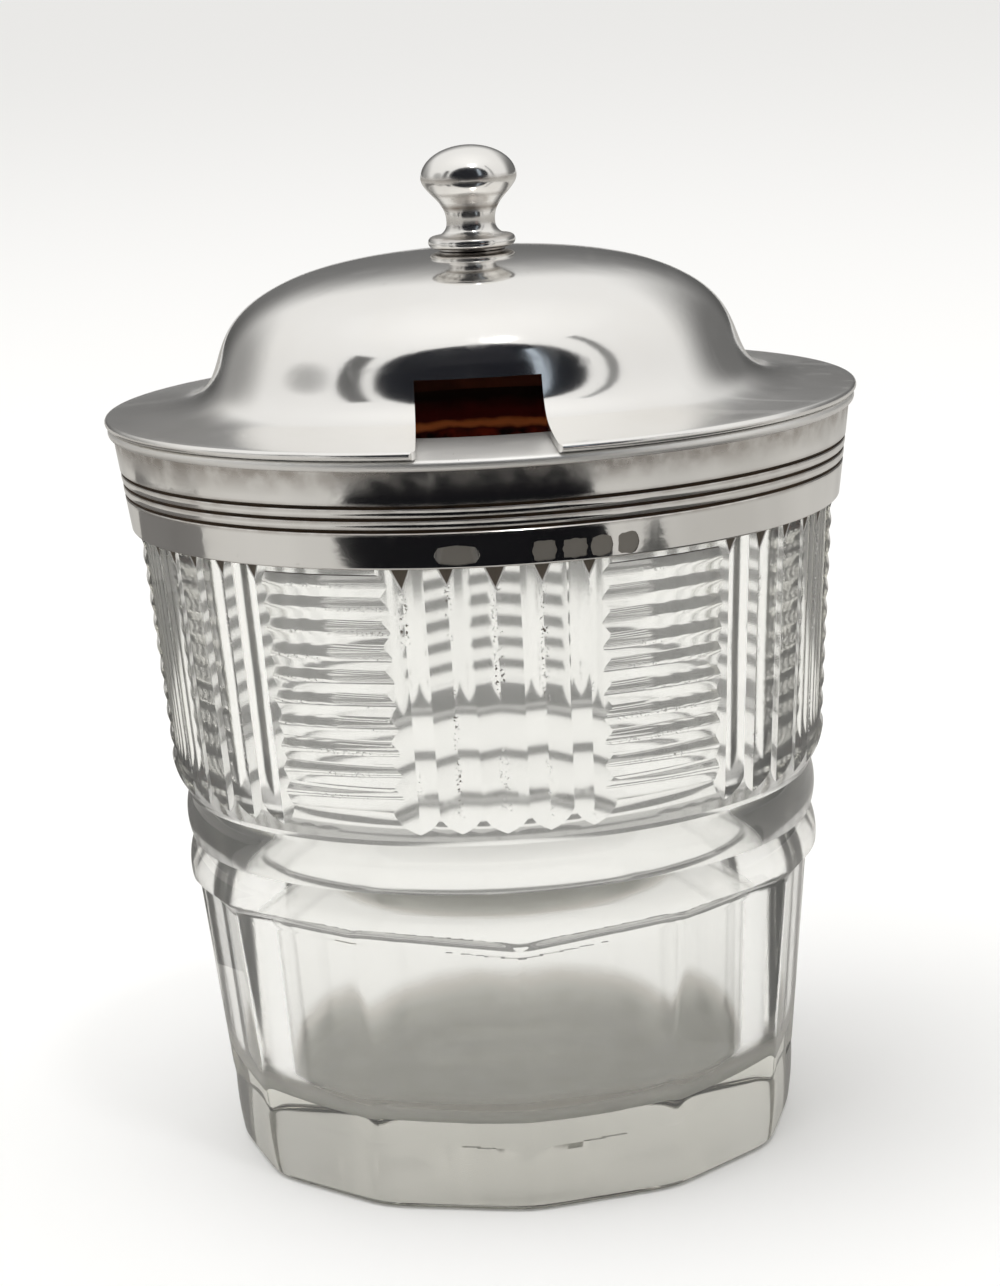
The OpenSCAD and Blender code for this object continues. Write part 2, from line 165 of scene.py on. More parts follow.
def grid(name, bottom, rows, top):
    """A closed skin through rows of points that go round, with one point below and one above."""
    n = len(rows[0])
    points = bottom + [point for row in rows for point in row] + top
    faces = [(0, 1 + i, 1 + (i + 1) % n) for i in range(n)]
    for row in range(len(rows) - 1):
        low, high = 1 + row * n, 1 + (row + 1) * n
        faces += [(low + i, low + (i + 1) % n, high + (i + 1) % n, high + i) for i in range(n)]
    last = 1 + (len(rows) - 1) * n
    return made(name, points, faces + [(last + i, last + (i + 1) % n, len(points) - 1) for i in range(n)])


def prism(name, lower, upper):
    """A solid between two outlines with the same number of points."""
    n = len(lower)
    sides = [(i, (i + 1) % n, n + (i + 1) % n, n + i) for i in range(n)]
    return made(name, list(lower) + list(upper), sides + [tuple(range(n)), tuple(range(n, 2 * n))])


print("helpers ready: made, arc, turned, grid, prism")

# %% Helpers for cutting and placing


def cut(piece, tools, how="DIFFERENCE"):
    """Cuts a piece with a list of closed tools, then throws the tools away."""
    for tool in tools:
        step = piece.modifiers.new(tool.name, "BOOLEAN")
        step.operation, step.solver, step.object = how, "MANIFOLD", tool
    result = bpy.data.meshes.new_from_object(piece.evaluated_get(bpy.context.evaluated_depsgraph_get()))
    piece.modifiers.clear()
    piece.data = result
    for tool in tools:
        bpy.data.objects.remove(tool)
    return piece


def shaded(piece, crease=30):
    """Smooth shading that keeps edges sharper than the crease angle."""
    piece.data.polygons.foreach_set("use_smooth", [True] * len(piece.data.polygons))
    piece.data.set_sharp_from_angle(angle=math.radians(crease))
    weights = piece.modifiers.new("weights", "WEIGHTED_NORMAL")
    weights.keep_sharp = True
    return piece


def round_about(angle, r, across, z):
    """A point at an angle from the front, towards +X: r outward, and across it to the side."""
    t = math.radians(angle - 90)
    return (r * math.cos(t) - across * math.sin(t), r * math.sin(t) + across * math.cos(t), z)


def settle(piece, body, slot, *nodes):
    """Attaches a piece to the body it rides on and hides the solids it stands for. The slot, naming its
    finish, is not used.
    """
    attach(piece, body)
    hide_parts(*nodes)
    print(piece.name, len(piece.data.vertices), "points, rides on", body)


print("helpers ready: cut, shaded, round_about, settle")

# %% [markdown]
# ## The glass jar
#
# A glass cutter starts with a blown blank, and grinds it on iron and stone wheels. So do these cells: the
# blank comes first, with its panels, and then the strokes of the band are taken out of it. Sculpting
# a height map would soften the ridges, and they are what makes cut glass sparkle. Each stroke is a closed
# tool with flat sides, so its edges come out sharp. A cutter works by eye, so every panel and stroke is
# a little off, from a fixed random seed.

# %% Slips of the panels
by_eye = random.Random(7)
# How far the panels' tops, and the foot's line, were carried up at each arris, from the front to the right
TOP_LIFT = [-0.75, 0.15, 0.1, 0, 0.1, 0, -0.1, 0.1, 0, -0.1, 0.1, 0.3]
FOOT_LIFT = [-0.3, 0.3, 0.2, 0, 0.1, 0, -0.1, 0.1, 0, 0.1, 0.3, 0.6]
LIFT_REACH, PANEL_SLIP_MOST = 4, 0.25
PANEL_SLIP = [by_eye.uniform(-PANEL_SLIP_MOST, PANEL_SLIP_MOST) for _ in range(PANELS)]


def between(lifts, place):
    """The lift at a place counted in arrises from the front, even from each arris to the next."""
    first = math.floor(place)
    share = place - first
    return lifts[first % PANELS] * (1 - share) + lifts[(first + 1) % PANELS] * share


print("panels slip by", [round(slip, 2) for slip in PANEL_SLIP], "degrees")

# %% Outline of the panels
PANEL_SLOPE = math.atan((PANEL_TOP - PANEL_FOOT) / (PANEL_TOP_Z - FOOT_TOP))
RUN_OUT = PANEL_TOP + WHEEL * math.cos(PANEL_SLOPE)
RUN_OUT_Z = PANEL_TOP_Z - WHEEL * math.sin(PANEL_SLOPE)
RING_ARC = (RING_HEIGHT ** 2 / 4 + RING_SWELL ** 2) / (2 * RING_SWELL)
FOOT_BEVEL, FOOT_BEVEL_RISE = 0.4, 1.6
# How round each kind of edge is, and a distance outside the blank, where a flat cuts nothing
ARRIS, FOOT_ARRIS, FOOT_EDGE, RING_EDGE, OUTSIDE = 0.12, 0.4, 0.12, 0.05, 40


def soft_min(values, softness):
    """The smallest value, with a rounded corner where two are alike."""
    least = min(values)
    return least - softness * math.log(sum(math.exp((least - v) / softness) for v in values))


def flat(z, lift):
    """Distance of a panel from the axis at height z, with the foot below and the wheel's hollow above."""
    if z < FOOT_TOP:
        swell = FOOT_SIDE - (FOOT_SIDE - FOOT_FACE) * (1 - z / FOOT_TOP) ** 2
        return soft_min([swell, FOOT_FACE - FOOT_BEVEL + FOOT_BEVEL_RISE * z], FOOT_EDGE)
    if z < RUN_OUT_Z + lift:
        return PANEL_FOOT + (z - FOOT_TOP) * math.tan(PANEL_SLOPE)
    up = (z - RUN_OUT_Z - lift) / WHEEL
    return RUN_OUT - WHEEL * math.sqrt(max(0, 1 - up * up)) if up < 1 else OUTSIDE


def ring(z):
    """Radius of the blank below the band: two round rings, and a plain wall under them."""
    if z < RING_Z:
        return GROOVE
    to_middle = (z - RING_Z) % RING_HEIGHT - RING_HEIGHT / 2
    return RING - RING_ARC + math.sqrt(RING_ARC ** 2 - to_middle ** 2)


def lower_body(angle, z):
    """Radius of the panelled part at an angle in degrees from the front: the flats, cut into the blank."""
    place = (angle - PANEL_TURN) / 360 * PANELS
    lift = between(TOP_LIFT, place)
    z = z - between(FOOT_LIFT, place) * max(0, 1 - abs(z - FOOT_TOP) / LIFT_REACH)
    nearest = place - 0.5
    flats = []
    for number in (math.floor(nearest), math.floor(nearest) + 1):
        turn = math.radians((nearest - number) * 360 / PANELS - PANEL_SLIP[number % PANELS])
        flats.append(flat(z, lift) / math.cos(turn))
    arris = FOOT_ARRIS if z < FOOT_TOP else ARRIS
    return soft_min([soft_min(flats, arris), ring(z)], RING_EDGE)


print("panels lean", round(math.degrees(PANEL_SLOPE), 2), "degrees")

# %% [markdown]
# The blank is a grid of points, because its radius changes both with height and round the axis. Its inside is
# round, so that is a turned tool, cut out together with the strokes.

# %% Blank of the jar
# Heights where the blank has a ring of points: close together where it curves
heights = [0, 0.05, 0.12, 0.2, 0.3, 0.45, 0.6, 0.8, 1.1, 1.5, 2, 2.6, 3.3, 4.1, 5, 5.42, 5.5, 5.58]
heights += [6.5, 9, 12, 15, 18, 20, 21] + [21.6 + 0.1 * i for i in range(42)]
heights += [26 + 0.3 * i for i in range(4)] + [27.1, 27.2, 27.3] + [27.6 + 0.4 * i for i in range(10)]
STEPS, LEDGE, LEDGE_SWELL, LEDGE_STEPS, HAIR = 480, 0.3, 0.18, 9, 0.02
LIP_BEVEL, IN_MOUTH = 0.4, 12
angles = [360 * i / STEPS for i in range(STEPS)]
rows = [[round_about(a, lower_body(a, z), 0, z) for a in angles] for z in heights]
wall = []
for i in range(LEDGE_STEPS):
    share = i / LEDGE_STEPS
    out = GROOVE + LEDGE + (BAND_FOOT - GROOVE - LEDGE) * share + LEDGE_SWELL * math.sin(math.pi * share)
    wall.append((out, GROOVE_Z + HAIR + (BAND_Z - GROOVE_Z - HAIR) * share))
wall += [(band(z), z) for z in (BAND_Z, 39, 44, 49, COLLAR_Z, SHOULDER_Z)]
wall += [(NECK, SHOULDER_Z), (NECK, LIP_Z - LIP_BEVEL), (NECK - LIP_BEVEL, LIP_Z), (IN_MOUTH, LIP_Z)]
rows += [[round_about(a, r, 0, z) for a in angles] for r, z in wall]
jar = grid("cut_glass_jar", [(0, 0, 0)], rows, [(0, 0, LIP_Z)])
print("blank with", len(jar.data.vertices), "points")

# %% Inside of the jar
FLAT_FLOOR, OVERCUT = 8, 2
INSIDE_WALL = [(21.3, 28), (22.2, 44)]
# Where the dried residue in the mouth starts
RESIDUE, RESIDUE_Z = 22.91, 54.8
lean = math.degrees(math.atan((MOUTH - FLOOR) / (LIP_Z - FLOOR_Z - FLOOR_CORNER)))
outline = [(0, FLOOR_Z), (FLAT_FLOOR, FLOOR_Z)]
outline += arc(FLOOR - FLOOR_CORNER, FLOOR_Z + FLOOR_CORNER, FLOOR_CORNER, -90, -lean, steps=16)
outline += INSIDE_WALL + [(RESIDUE, RESIDUE_Z), (MOUTH, LIP_Z)]
outline += [(MOUTH, LIP_Z + OVERCUT), (0, LIP_Z + OVERCUT)]
inside = turned("inside", outline)
print("inside leans", round(lean, 2), "degrees")

# %% [markdown]
# The band is cut like basket weave. Upright mitre cuts lie side by side, so that only ridges are left between
# them. Beside each group is a ladder of level cuts. The level cuts are shallower, so they die out in a zigzag
# on the flanks of the outermost upright cuts.

# %% Flutes
# How far a stroke slips in depth and in degrees, how far a tool goes past its cut, and how much wider it is
DEPTH_SLIP, TURN_SLIP, PAST, WIDER = 0.03, 0.2, 0.05, 2
OVER_GROOVE, OVER_SHOULDER = 0.6, 1


def flute_cut(angle):
    """One upright mitre cut."""
    depth = FLUTE_DEPTH + by_eye.uniform(-DEPTH_SLIP, DEPTH_SLIP)
    ridge = band(SHOULDER_Z) + PAST
    half = math.radians(UNIT / 2)
    rise = (FLUTE_DEPTH - ridge * (1 - math.cos(half))) * WIDER
    across = ridge * math.sin(half) * WIDER

    def section(z):
        r = band(z) - depth
        return [round_about(angle, r, 0, z), round_about(angle, r + rise, across, z),
                round_about(angle, r + rise, -across, z)]

    return prism("flute", section(GROOVE_Z + OVER_GROOVE), section(SHOULDER_Z + OVER_SHOULDER))


print("flutes are", round(UNIT, 2), "degrees wide")

# %% Ladders, and all the cuts
RUNG_SLIP, RUNG_BLUNT, RUNG_EDGE = 0.08, 0.9, 0.06
RUNG_SHARES = (-0.44, -0.3, -0.15, -0.05, 0.05, 0.15, 0.3, 0.44)
LADDER_STEPS, LADDER_END, OUT_OF_GLASS = 24, 0.1, 32


def ladder_cut(angle):
    """One ladder of level mitre cuts, between the outermost flutes on both sides of it."""
    top = COLLAR_Z - RUNG_DROP + RUNG_PITCH / 2
    outline = []
    for rung in range(RUNGS, 0, -1):
        middle = top - (rung - 0.5) * RUNG_PITCH + by_eye.uniform(-RUNG_SLIP, RUNG_SLIP)
        for share in RUNG_SHARES:
            z = middle + share * RUNG_PITCH
            deep = RUNG_DEPTH * soft_min([1 - 2 * abs(share), RUNG_BLUNT], RUNG_EDGE)
            outline.append((band(z) - PAST - deep, z))
    low, high = outline[0][1] - LADDER_END, outline[-1][1] + LADDER_END
    outline = [(OUT_OF_GLASS, low), (band(low) - HAIR, low)] + outline
    outline += [(band(high) - HAIR, high), (OUT_OF_GLASS, high)]
    span = (LADDER + 1) * UNIT
    tilt = by_eye.uniform(-RUNG_SLIP, RUNG_SLIP)
    points, faces, n = [], [], len(outline)
    for i in range(LADDER_STEPS + 1):
        share = i / LADDER_STEPS - 0.5
        points += [round_about(angle + share * span, r, 0, z + tilt * share) for r, z in outline]
    for i in range(LADDER_STEPS):
        for j in range(n):
            k = (j + 1) % n
            faces.append((i * n + j, i * n + k, (i + 1) * n + k, (i + 1) * n + j))
    faces += [tuple(range(n)), tuple(range(LADDER_STEPS * n, (LADDER_STEPS + 1) * n))]
    return made("ladder", points, faces)


strokes, ladders = [], []
start = PATTERN_TURN - FLUTES[0] * UNIT / 2
for flutes in FLUTES:
    for i in range(flutes):
        strokes.append(flute_cut(start + (i + 0.5) * UNIT + by_eye.uniform(-TURN_SLIP, TURN_SLIP)))
    ladders.append(start + (flutes + LADDER / 2) * UNIT)
    strokes.append(ladder_cut(ladders[-1]))
    start += (flutes + LADDER) * UNIT
cut(jar, [inside] + strokes)
print("ladders at", [round(a, 1) for a in ladders], "degrees from the front")
shaded(jar, crease=13)
settle(jar, "pot", "cut_glass", "glass_jar")

# %% [markdown]
# ## The collar
#
# The collar is a strip of sheet silver, rolled and soldered into a sleeve. Its reeds were rolled into the
# strip. They could be a bump in the finish, but the light along a reed's crown needs a real round form, so
# they are points of the turned outline.

# %% Sleeve with its reeds
SHEET, SEAT, SILVER_STEPS = 0.45, 0.03, 384
SLEEVE_FOOT = BAND_TOP + SEAT + SHEET
SLEEVE_HEIGHT, SLEEVE_FLARE = 7.9, 1.05
SLEEVE_TOP, SLEEVE_TOP_Z = SLEEVE_FOOT + SLEEVE_FLARE, COLLAR_Z + SLEEVE_HEIGHT
REEDS, REED, REED_DEPTH, OVER_REEDS = 2, 0.93, 0.2, 3.05
REED_TOP_Z = SLEEVE_TOP_Z - OVER_REEDS
EDGE, EDGE_BEVEL = 0.16, 0.06
# A line between reeds as (height, depth) points, its margin, and the places and fall of a reed's crown
LINE = [(-0.09, 0.11), (-0.03, REED_DEPTH), (0.03, REED_DEPTH), (0.09, 0.11)]
LINE_MARGIN, CROWN, CROWN_FALL = 0.2, (0.2, 0.35, 0.5, 0.65, 0.8), 0.3
SLOPE_ANGLE = 4.5
SLOPE = math.tan(math.radians(SLOPE_ANGLE))
COS_SLOPE = math.cos(math.radians(SLOPE_ANGLE))


def sleeve(z):
    """Radius of the sleeve's outside at height z."""
    return SLEEVE_FOOT + (z - COLLAR_Z) * SLEEVE_FLARE / SLEEVE_HEIGHT


outline = [(SLEEVE_FOOT - SHEET, COLLAR_Z + EDGE), (SLEEVE_FOOT - SHEET + EDGE_BEVEL, COLLAR_Z)]
outline += arc(SLEEVE_FOOT - EDGE, COLLAR_Z + EDGE, EDGE, -90, 0, steps=5)
lines = [REED_TOP_Z - i * REED for i in range(REEDS, -1, -1)]
outline.append((sleeve(lines[0] - LINE_MARGIN), lines[0] - LINE_MARGIN))
for number, z in enumerate(lines):
    outline += [(sleeve(z) - deep, z + up) for up, deep in LINE]
    if number < REEDS:
        crown = [z + REED * share for share in CROWN]
        outline += [(sleeve(c) - CROWN_FALL * ((c - z) / REED - 0.5) ** 2, c) for c in crown]
outline.append((sleeve(lines[-1] + LINE_MARGIN), lines[-1] + LINE_MARGIN))
outline += [(SLEEVE_TOP, SLEEVE_TOP_Z), (SLEEVE_TOP - SHEET, SLEEVE_TOP_Z + SHEET * SLOPE)]
collar = turned("collar_sleeve_reeded", outline, SILVER_STEPS)
print("lines between the reeds at", [round(z, 2) for z in lines])

# %% [markdown]
# Silver is struck with small punches. Those here are blank, as an old pot's are when they are rubbed: a few
# small shields and one longer punch, sunk a tenth of a millimetre into the plain strip below the reeds.

# %% Blank punch marks
MARK_Z, MARK_DEPTH = 54.75, 0.12
# Angle from the front, half width, half height and number of corners
PUNCHES = [(-4.6, 1.75, 0.8, 4), (8.3, 0.95, 0.85, 6), (12.9, 1.0, 0.8, 8)]
PUNCHES += [(17.0, 0.9, 0.85, 4), (21.2, 0.9, 0.9, 5)]
BULGE, SQUARED = 0.05, 0.6


def punch(angle, half_width, half_height, corners):
    """A blank punch: a rounded shape with few corners, pushed in from outside."""
    shape = []
    for i in range(4 * corners):
        t = 2 * math.pi * i / (4 * corners) + math.pi / corners
        bulge = 1 + BULGE * math.cos(corners * t)
        square = max(abs(math.cos(t)), abs(math.sin(t))) ** SQUARED
        shape.append((half_width * math.cos(t) * bulge / square, half_height * math.sin(t) * bulge / square))

    def section(out, wide, tall):
        return [round_about(angle, sleeve(MARK_Z + z) + out, x * wide, MARK_Z + z * tall) for x, z in shape]

    return prism("punch", section(out=-MARK_DEPTH, wide=0.94, tall=0.94), section(out=1, wide=1.2, tall=1.1))


cut(collar, [punch(*marks) for marks in PUNCHES])
shaded(collar, crease=24)
settle(collar, "pot", "silver", "collar_sleeve")

# %% [markdown]
# A flat rim plate closes the top of the collar and turns down into the mouth. It is one bent sheet with
# a rounded lip, so it is turned from one outline too: arcs for the lip and the bend, straight lines between.

# %% Rim plate
PLATE, LIP_SHEET, LIP_PROUD = 0.6, 0.85, 0.4
LIP = SLEEVE_TOP + LIP_PROUD
SKIRT_GAP, SKIRT = 0.2, 1.8
SKIRT_OUT = MOUTH - SKIRT_GAP
SKIRT_IN = SKIRT_OUT - PLATE
BEND, LIP_START = 1.2 * PLATE, -75
# Radii of the points on the plate's top and underside
TOP_AT, UNDER_AT = (29.5, 28, 26, 24.5), (SKIRT_OUT, 27)


def plate_under(r):
    """Height of the rim plate's underside at radius r."""
    return SLEEVE_TOP_Z + SEAT + (SLEEVE_TOP - r) * SLOPE


def plate_top(r):
    """Height of the rim plate's top at radius r."""
    return plate_under(r) + PLATE / COS_SLOPE


lip_r = LIP - LIP_SHEET / 2
lip_z = plate_top(lip_r) - LIP_SHEET / 2 / COS_SLOPE
bend_r = SKIRT_IN + BEND
skirt_z = plate_under(SKIRT_OUT) - SKIRT
outline = [(SLEEVE_TOP + SEAT, plate_under(SLEEVE_TOP + SEAT))]
outline += arc(lip_r, lip_z, LIP_SHEET / 2, LIP_START, 90 - SLOPE_ANGLE, steps=16)
outline += [(r, plate_top(r)) for r in TOP_AT]
outline += arc(bend_r, plate_top(bend_r) - BEND / COS_SLOPE, BEND, 90 - SLOPE_ANGLE, 180, steps=8)
outline += [(SKIRT_IN, skirt_z), (SKIRT_OUT, skirt_z)]
outline += [(r, plate_under(r)) for r in UNDER_AT]
rim = shaded(turned("collar_rim_plate", outline, SILVER_STEPS), crease=35)
settle(rim, "pot", "silver", "collar_rim")

# %% [markdown]
# Plaster fills the room between sleeve, rim plate and glass, and holds them together. It is poured in, so its
# outline follows its neighbours, a hair away from each.

# %% Plaster bed
low, top, out = SHOULDER_Z + SEAT, LIP_Z + SEAT, SHEET + SEAT
outline = [(NECK + SEAT, low), (sleeve(low) - out, low)]
outline += [(r, plate_under(r) - SEAT) for r in (SLEEVE_TOP - out, MOUTH)]
outline += [(MOUTH, top), (NECK + SEAT, top)]
bed = shaded(turned("plaster_bedding", outline, steps=192))
settle(bed, "pot", "plaster", "plaster_bed")

# %% [markdown]
# ## The lid
#
# The lid is raised from one sheet, so its outline is a line of even thickness: a rounded edge, a flat flange,
# a hollow and a dome. Its dome is fuller than half an ellipse, which a power a little over 2 in the ellipse's
# equation gives. A hammer leaves no sharp change between them. So the line is eased: every point moves to
# the mean of its neighbours, and hollow and dome run into one another.

# %% Line of the lid
LID_SHEET, LID_GAP, OVERHANG = 0.65, 0.08, 0.2
LID = LIP + OVERHANG
DOME, DOME_HEIGHT, DOME_POWER, HOLLOW, EASE = 21.5, 8.15, 2.35, 3.4, 2.2
# Radii of the points on the flange's top and underside
FLANGE_TOP_AT, FLANGE_UNDER_AT = (30, 29, 28, 27, 26), (30, 28, 26)


def flange_under(r):
    """Height of the flange's underside at radius r."""
    return plate_top(r) + LID_GAP


def flange_top(r):
    """Height of the flange's top at radius r."""
    return flange_under(r) + LID_SHEET / COS_SLOPE


EDGE_R = LID - LID_SHEET / 2
EDGE_Z = flange_under(EDGE_R) + LID_SHEET / 2 / COS_SLOPE
HOLLOW_R = DOME + HOLLOW
WALL_Z = flange_top(HOLLOW_R) + HOLLOW / COS_SLOPE
APEX_Z = WALL_Z + DOME_HEIGHT


def dome(r, height, steps=40):
    """Points of the dome's curve, from its wall to its top."""
    turns = [math.radians(90 * (1 - i / steps)) for i in range(steps)]
    power = 2 / DOME_POWER
    curve = [(r * abs(math.sin(t)) ** power, WALL_Z + height * abs(math.cos(t)) ** power) for t in turns]
    return curve + [(0, WALL_Z + height)]


def eased(line, spread=EASE, step=0.4):
    """The same line in even steps, with each point moved to the mean of the line near it."""
    even = [Vector(line[0])]
    for start, end in zip(line, line[1:]):
        pieces = max(1, round((Vector(end) - Vector(start)).length / step))
        even += [Vector(start).lerp(Vector(end), (i + 1) / pieces) for i in range(pieces)]
    reach = round(spread / step)
    moved = []
    for i in range(len(even)):
        wide = min(reach, i, len(even) - 1 - i)
        near = even[i - wide:i + wide + 1]
        moved.append(tuple(sum(near, Vector((0, 0))) / len(near)))
    return moved


def side(flange, hollow, sheet):
    """One side of the lid's sheet, from the flange to the top."""
    line = flange + arc(HOLLOW_R, WALL_Z, hollow, 270 - SLOPE_ANGLE, 180, steps=18)[:-1]
    return eased(eased(line + dome(DOME - sheet, DOME_HEIGHT - sheet)))


outside = arc(EDGE_R, EDGE_Z, LID_SHEET / 2, -90 - SLOPE_ANGLE, 90 - SLOPE_ANGLE)
outside += side([(r, flange_top(r)) for r in FLANGE_TOP_AT], HOLLOW, sheet=0)
within = side([(r, flange_under(r)) for r in FLANGE_UNDER_AT], HOLLOW + LID_SHEET, LID_SHEET)
lid = turned("domed_lid", outside + within[::-1], SILVER_STEPS)
print("dome top at", round(APEX_Z, 2))

# %% [markdown]
# The spoon's notch was sawn out with a piercing saw: straight on its left, a little flared on its right, with
# rounded corners at the edge. A plan of that shape, drawn upward, cuts it. The hammer leaves hardly visible
# hollows on the dome. A smooth noise of two hundredths of a millimetre stands for them, because they are what
# bends the reflections in old silver.

# %% Notch, stud hole and hammer marks
STRAIGHT, FLARED_IN, FLARED_OUT, CORNER = 5.05, 4.5, 5.65, 0.9
NOTCH_IN, NOTCH_PAST = 4, 5
NOTCH_HEIGHT = 4.8
NOTCH_TOP = flange_under(LID) + NOTCH_HEIGHT
STUD, STUD_HOLE, HOLE_LOW, HOLE_TOP = 1.1, 1.13, 68, 80
HAMMER_WIDE, HAMMER_FINE, FINE_SHARE, HAMMER_DEPTH = 7, 2.6, 0.5, 0.02
# The marks fade towards the finial and the edge: where a fade starts, and how long it is
INNER_FADE, OUTER_FADE = (4, 3), (29.5, 4)

corner_y = -math.sqrt(LID ** 2 - STRAIGHT ** 2) + CORNER
inner_y, outer_y = -DOME + NOTCH_IN, -LID - NOTCH_PAST
plan = [(-STRAIGHT, inner_y)] + arc(-STRAIGHT - CORNER, corner_y, CORNER, 0, -90, steps=8)
plan += [(-STRAIGHT - CORNER, outer_y), (FLARED_OUT + CORNER, outer_y)]
plan += arc(FLARED_OUT + CORNER, corner_y, CORNER, 270, 180, steps=8) + [(FLARED_IN, inner_y)]
notch = prism("notch", [(x, y, COLLAR_Z) for x, y in plan], [(x, y, NOTCH_TOP) for x, y in plan])
hole = [(0, HOLE_LOW), (STUD_HOLE, HOLE_LOW), (STUD_HOLE, HOLE_TOP), (0, HOLE_TOP)]
cut(lid, [notch, turned("stud_hole", hole, steps=48)])
for point in lid.data.vertices:
    reach = point.co.xy.length / MM
    hollow = noise.noise(point.co / (HAMMER_WIDE * MM))
    hollow += FINE_SHARE * noise.noise(point.co / (HAMMER_FINE * MM))
    fade = min(1, max(0, (reach - INNER_FADE[0]) / INNER_FADE[1]))
    fade *= min(1, max(0, (OUTER_FADE[0] - reach) / OUTER_FADE[1]))
    point.co.z += HAMMER_DEPTH * MM * hollow * fade
shaded(lid)
settle(lid, "hinged_lid", "silver", "lid")
print("notch top at", round(NOTCH_TOP, 2))

# %% [markdown]
# ## The finial
#
# The finial is turned from the solid: a flattened knob on a cone, a neck, a ring and a short stem. Its stud
# goes through the dome, and a nut holds it from inside. The nut is turned as a round blank, and its six flats
# are then cut, as a file would do it.

# %% Finial
STEM, STEM_HEIGHT, RING_THICK, NECK_HOLLOW = 2.7, 0.2, 0.95, 1.05
STEM_Z = APEX_Z + STEM_HEIGHT
NECK_Z = STEM_Z + RING_THICK + NECK_HOLLOW
KNOB_UNDER, KNOB_TOP, KNOB, KNOB_NECK, FINIAL_RING = 3.7, 2.6, 3.95, 2.0, 3.6
KNOB_Z, KNOB_STEPS, KNOB_SWELL = NECK_Z + KNOB_UNDER, 24, 1.3
NUT, NUT_FLAT, NUT_HEIGHT, NUT_BEVEL, NUT_GAP = 2.7, 2.3, 1.5, 0.2, 0.05
NUT_TOP = APEX_Z - LID_SHEET - SEAT - NUT_GAP
STUD_END, STUD_TIP, STUD_BEVEL = 1.9, 0.9, 1.75


def under_knob(share):
    """Point under the knob at a share of the height from the neck to its widest place."""
    swell = (1 - math.cos(math.pi * share ** KNOB_SWELL)) / 2
    return (KNOB_NECK + (KNOB - KNOB_NECK) * swell, NECK_Z + KNOB_UNDER * share)


def over_knob(angle):
    """Point on top of the knob at an angle in degrees."""
    t = math.radians(angle)
    return (KNOB * math.cos(t), KNOB_Z + KNOB_TOP * math.sin(t))


outline = [(0, NUT_TOP - STUD_END), (STUD_TIP, NUT_TOP - STUD_END), (STUD, NUT_TOP - STUD_BEVEL)]
outline += [(STUD, APEX_Z), (STEM, APEX_Z), (STEM, STEM_Z)]
outline += arc(FINIAL_RING - RING_THICK / 2, STEM_Z + RING_THICK / 2, RING_THICK / 2, -80, 80, steps=14)
outline += arc(KNOB_NECK + NECK_HOLLOW, NECK_Z, NECK_HOLLOW, 250, 180)
outline += [under_knob(i / KNOB_STEPS) for i in range(1, KNOB_STEPS)]
outline += [over_knob(angle) for angle in range(0, 90, 5)] + [(0, KNOB_Z + KNOB_TOP)]
finial = shaded(turned("knob_finial", outline, steps=128))
settle(finial, "hinged_lid", "silver", "finial")

# %% Nut of the finial
FILE_SIDE, FILE_OUT, FILE_LOW, FILE_TOP = 3, 5, NUT_TOP - 3, NUT_TOP + 1
low = NUT_TOP - NUT_HEIGHT
outline = [(STUD + SEAT, low), (NUT_FLAT, low), (NUT, low + NUT_BEVEL)]
outline += [(NUT, NUT_TOP), (STUD + SEAT, NUT_TOP)]
nut = turned("finial_hex_nut", outline, steps=96)
corners = [(NUT_FLAT, -FILE_SIDE), (NUT_FLAT, FILE_SIDE), (FILE_OUT, FILE_SIDE), (FILE_OUT, -FILE_SIDE)]
flats = []
for angle in range(0, 360, 60):
    ends = [[round_about(angle, r, across, z) for r, across in corners] for z in (FILE_LOW, FILE_TOP)]
    flats.append(prism("flat", *ends))
cut(nut, flats)
shaded(nut, crease=25)
settle(nut, "hinged_lid", "silver", "finial_nut")

# %% [markdown]
# ## The hinge
#
# The hinge is three lengths of tube on one pin. The two outer tubes are soldered to a leaf on the collar, and
# the middle one to the lid's edge. Tubes and leaf are made as closed solids and joined with the same cutting
# helper, because solder leaves one piece with no gap in it.

# %% Helpers for the hinge
KNUCKLE, PIN, PLAY, SWING = 1.4, 0.6, 0.03, 0.15
HINGE, LID_KNUCKLE, SPACE, LEAF, LEAF_HEIGHT = 16.4, 5.6, 0.2, 0.9, 1.5
HINGE_Y, HINGE_Z = LID + KNUCKLE + SWING, EDGE_Z
LEAF_TOP = lip_z - LIP_SHEET / 2 - SWING
FIXED = (HINGE - LID_KNUCKLE) / 2 - SPACE
SOFT_END, BORE_END = 0.12, 20


def tube(name, radius, start, end, soft=SOFT_END, steps=64):
    """A rod along the hinge's axis, with softened ends."""
    outline = [(0, start), (radius - soft, start), (radius, start + soft)]
    outline += [(radius, end - soft), (radius - soft, end), (0, end)]
    rod = turned(name, outline, steps)
    for point in rod.data.vertices:
        x, y, z = point.co
        point.co = (z, HINGE_Y * MM + y, HINGE_Z * MM - x)
    return rod


def bore():
    """The hole for the pin, with its play."""
    return tube("bore", PIN + PLAY, -BORE_END, BORE_END, soft=0)


def strip(name, section, start, end):
    """A section of (y, z) points, drawn along X."""
    return prism(name, [(start, y, z) for y, z in section], [(end, y, z) for y, z in section])


print("hinge axis at", round(HINGE_Y, 2), "mm back and", round(HINGE_Z, 2), "mm up")

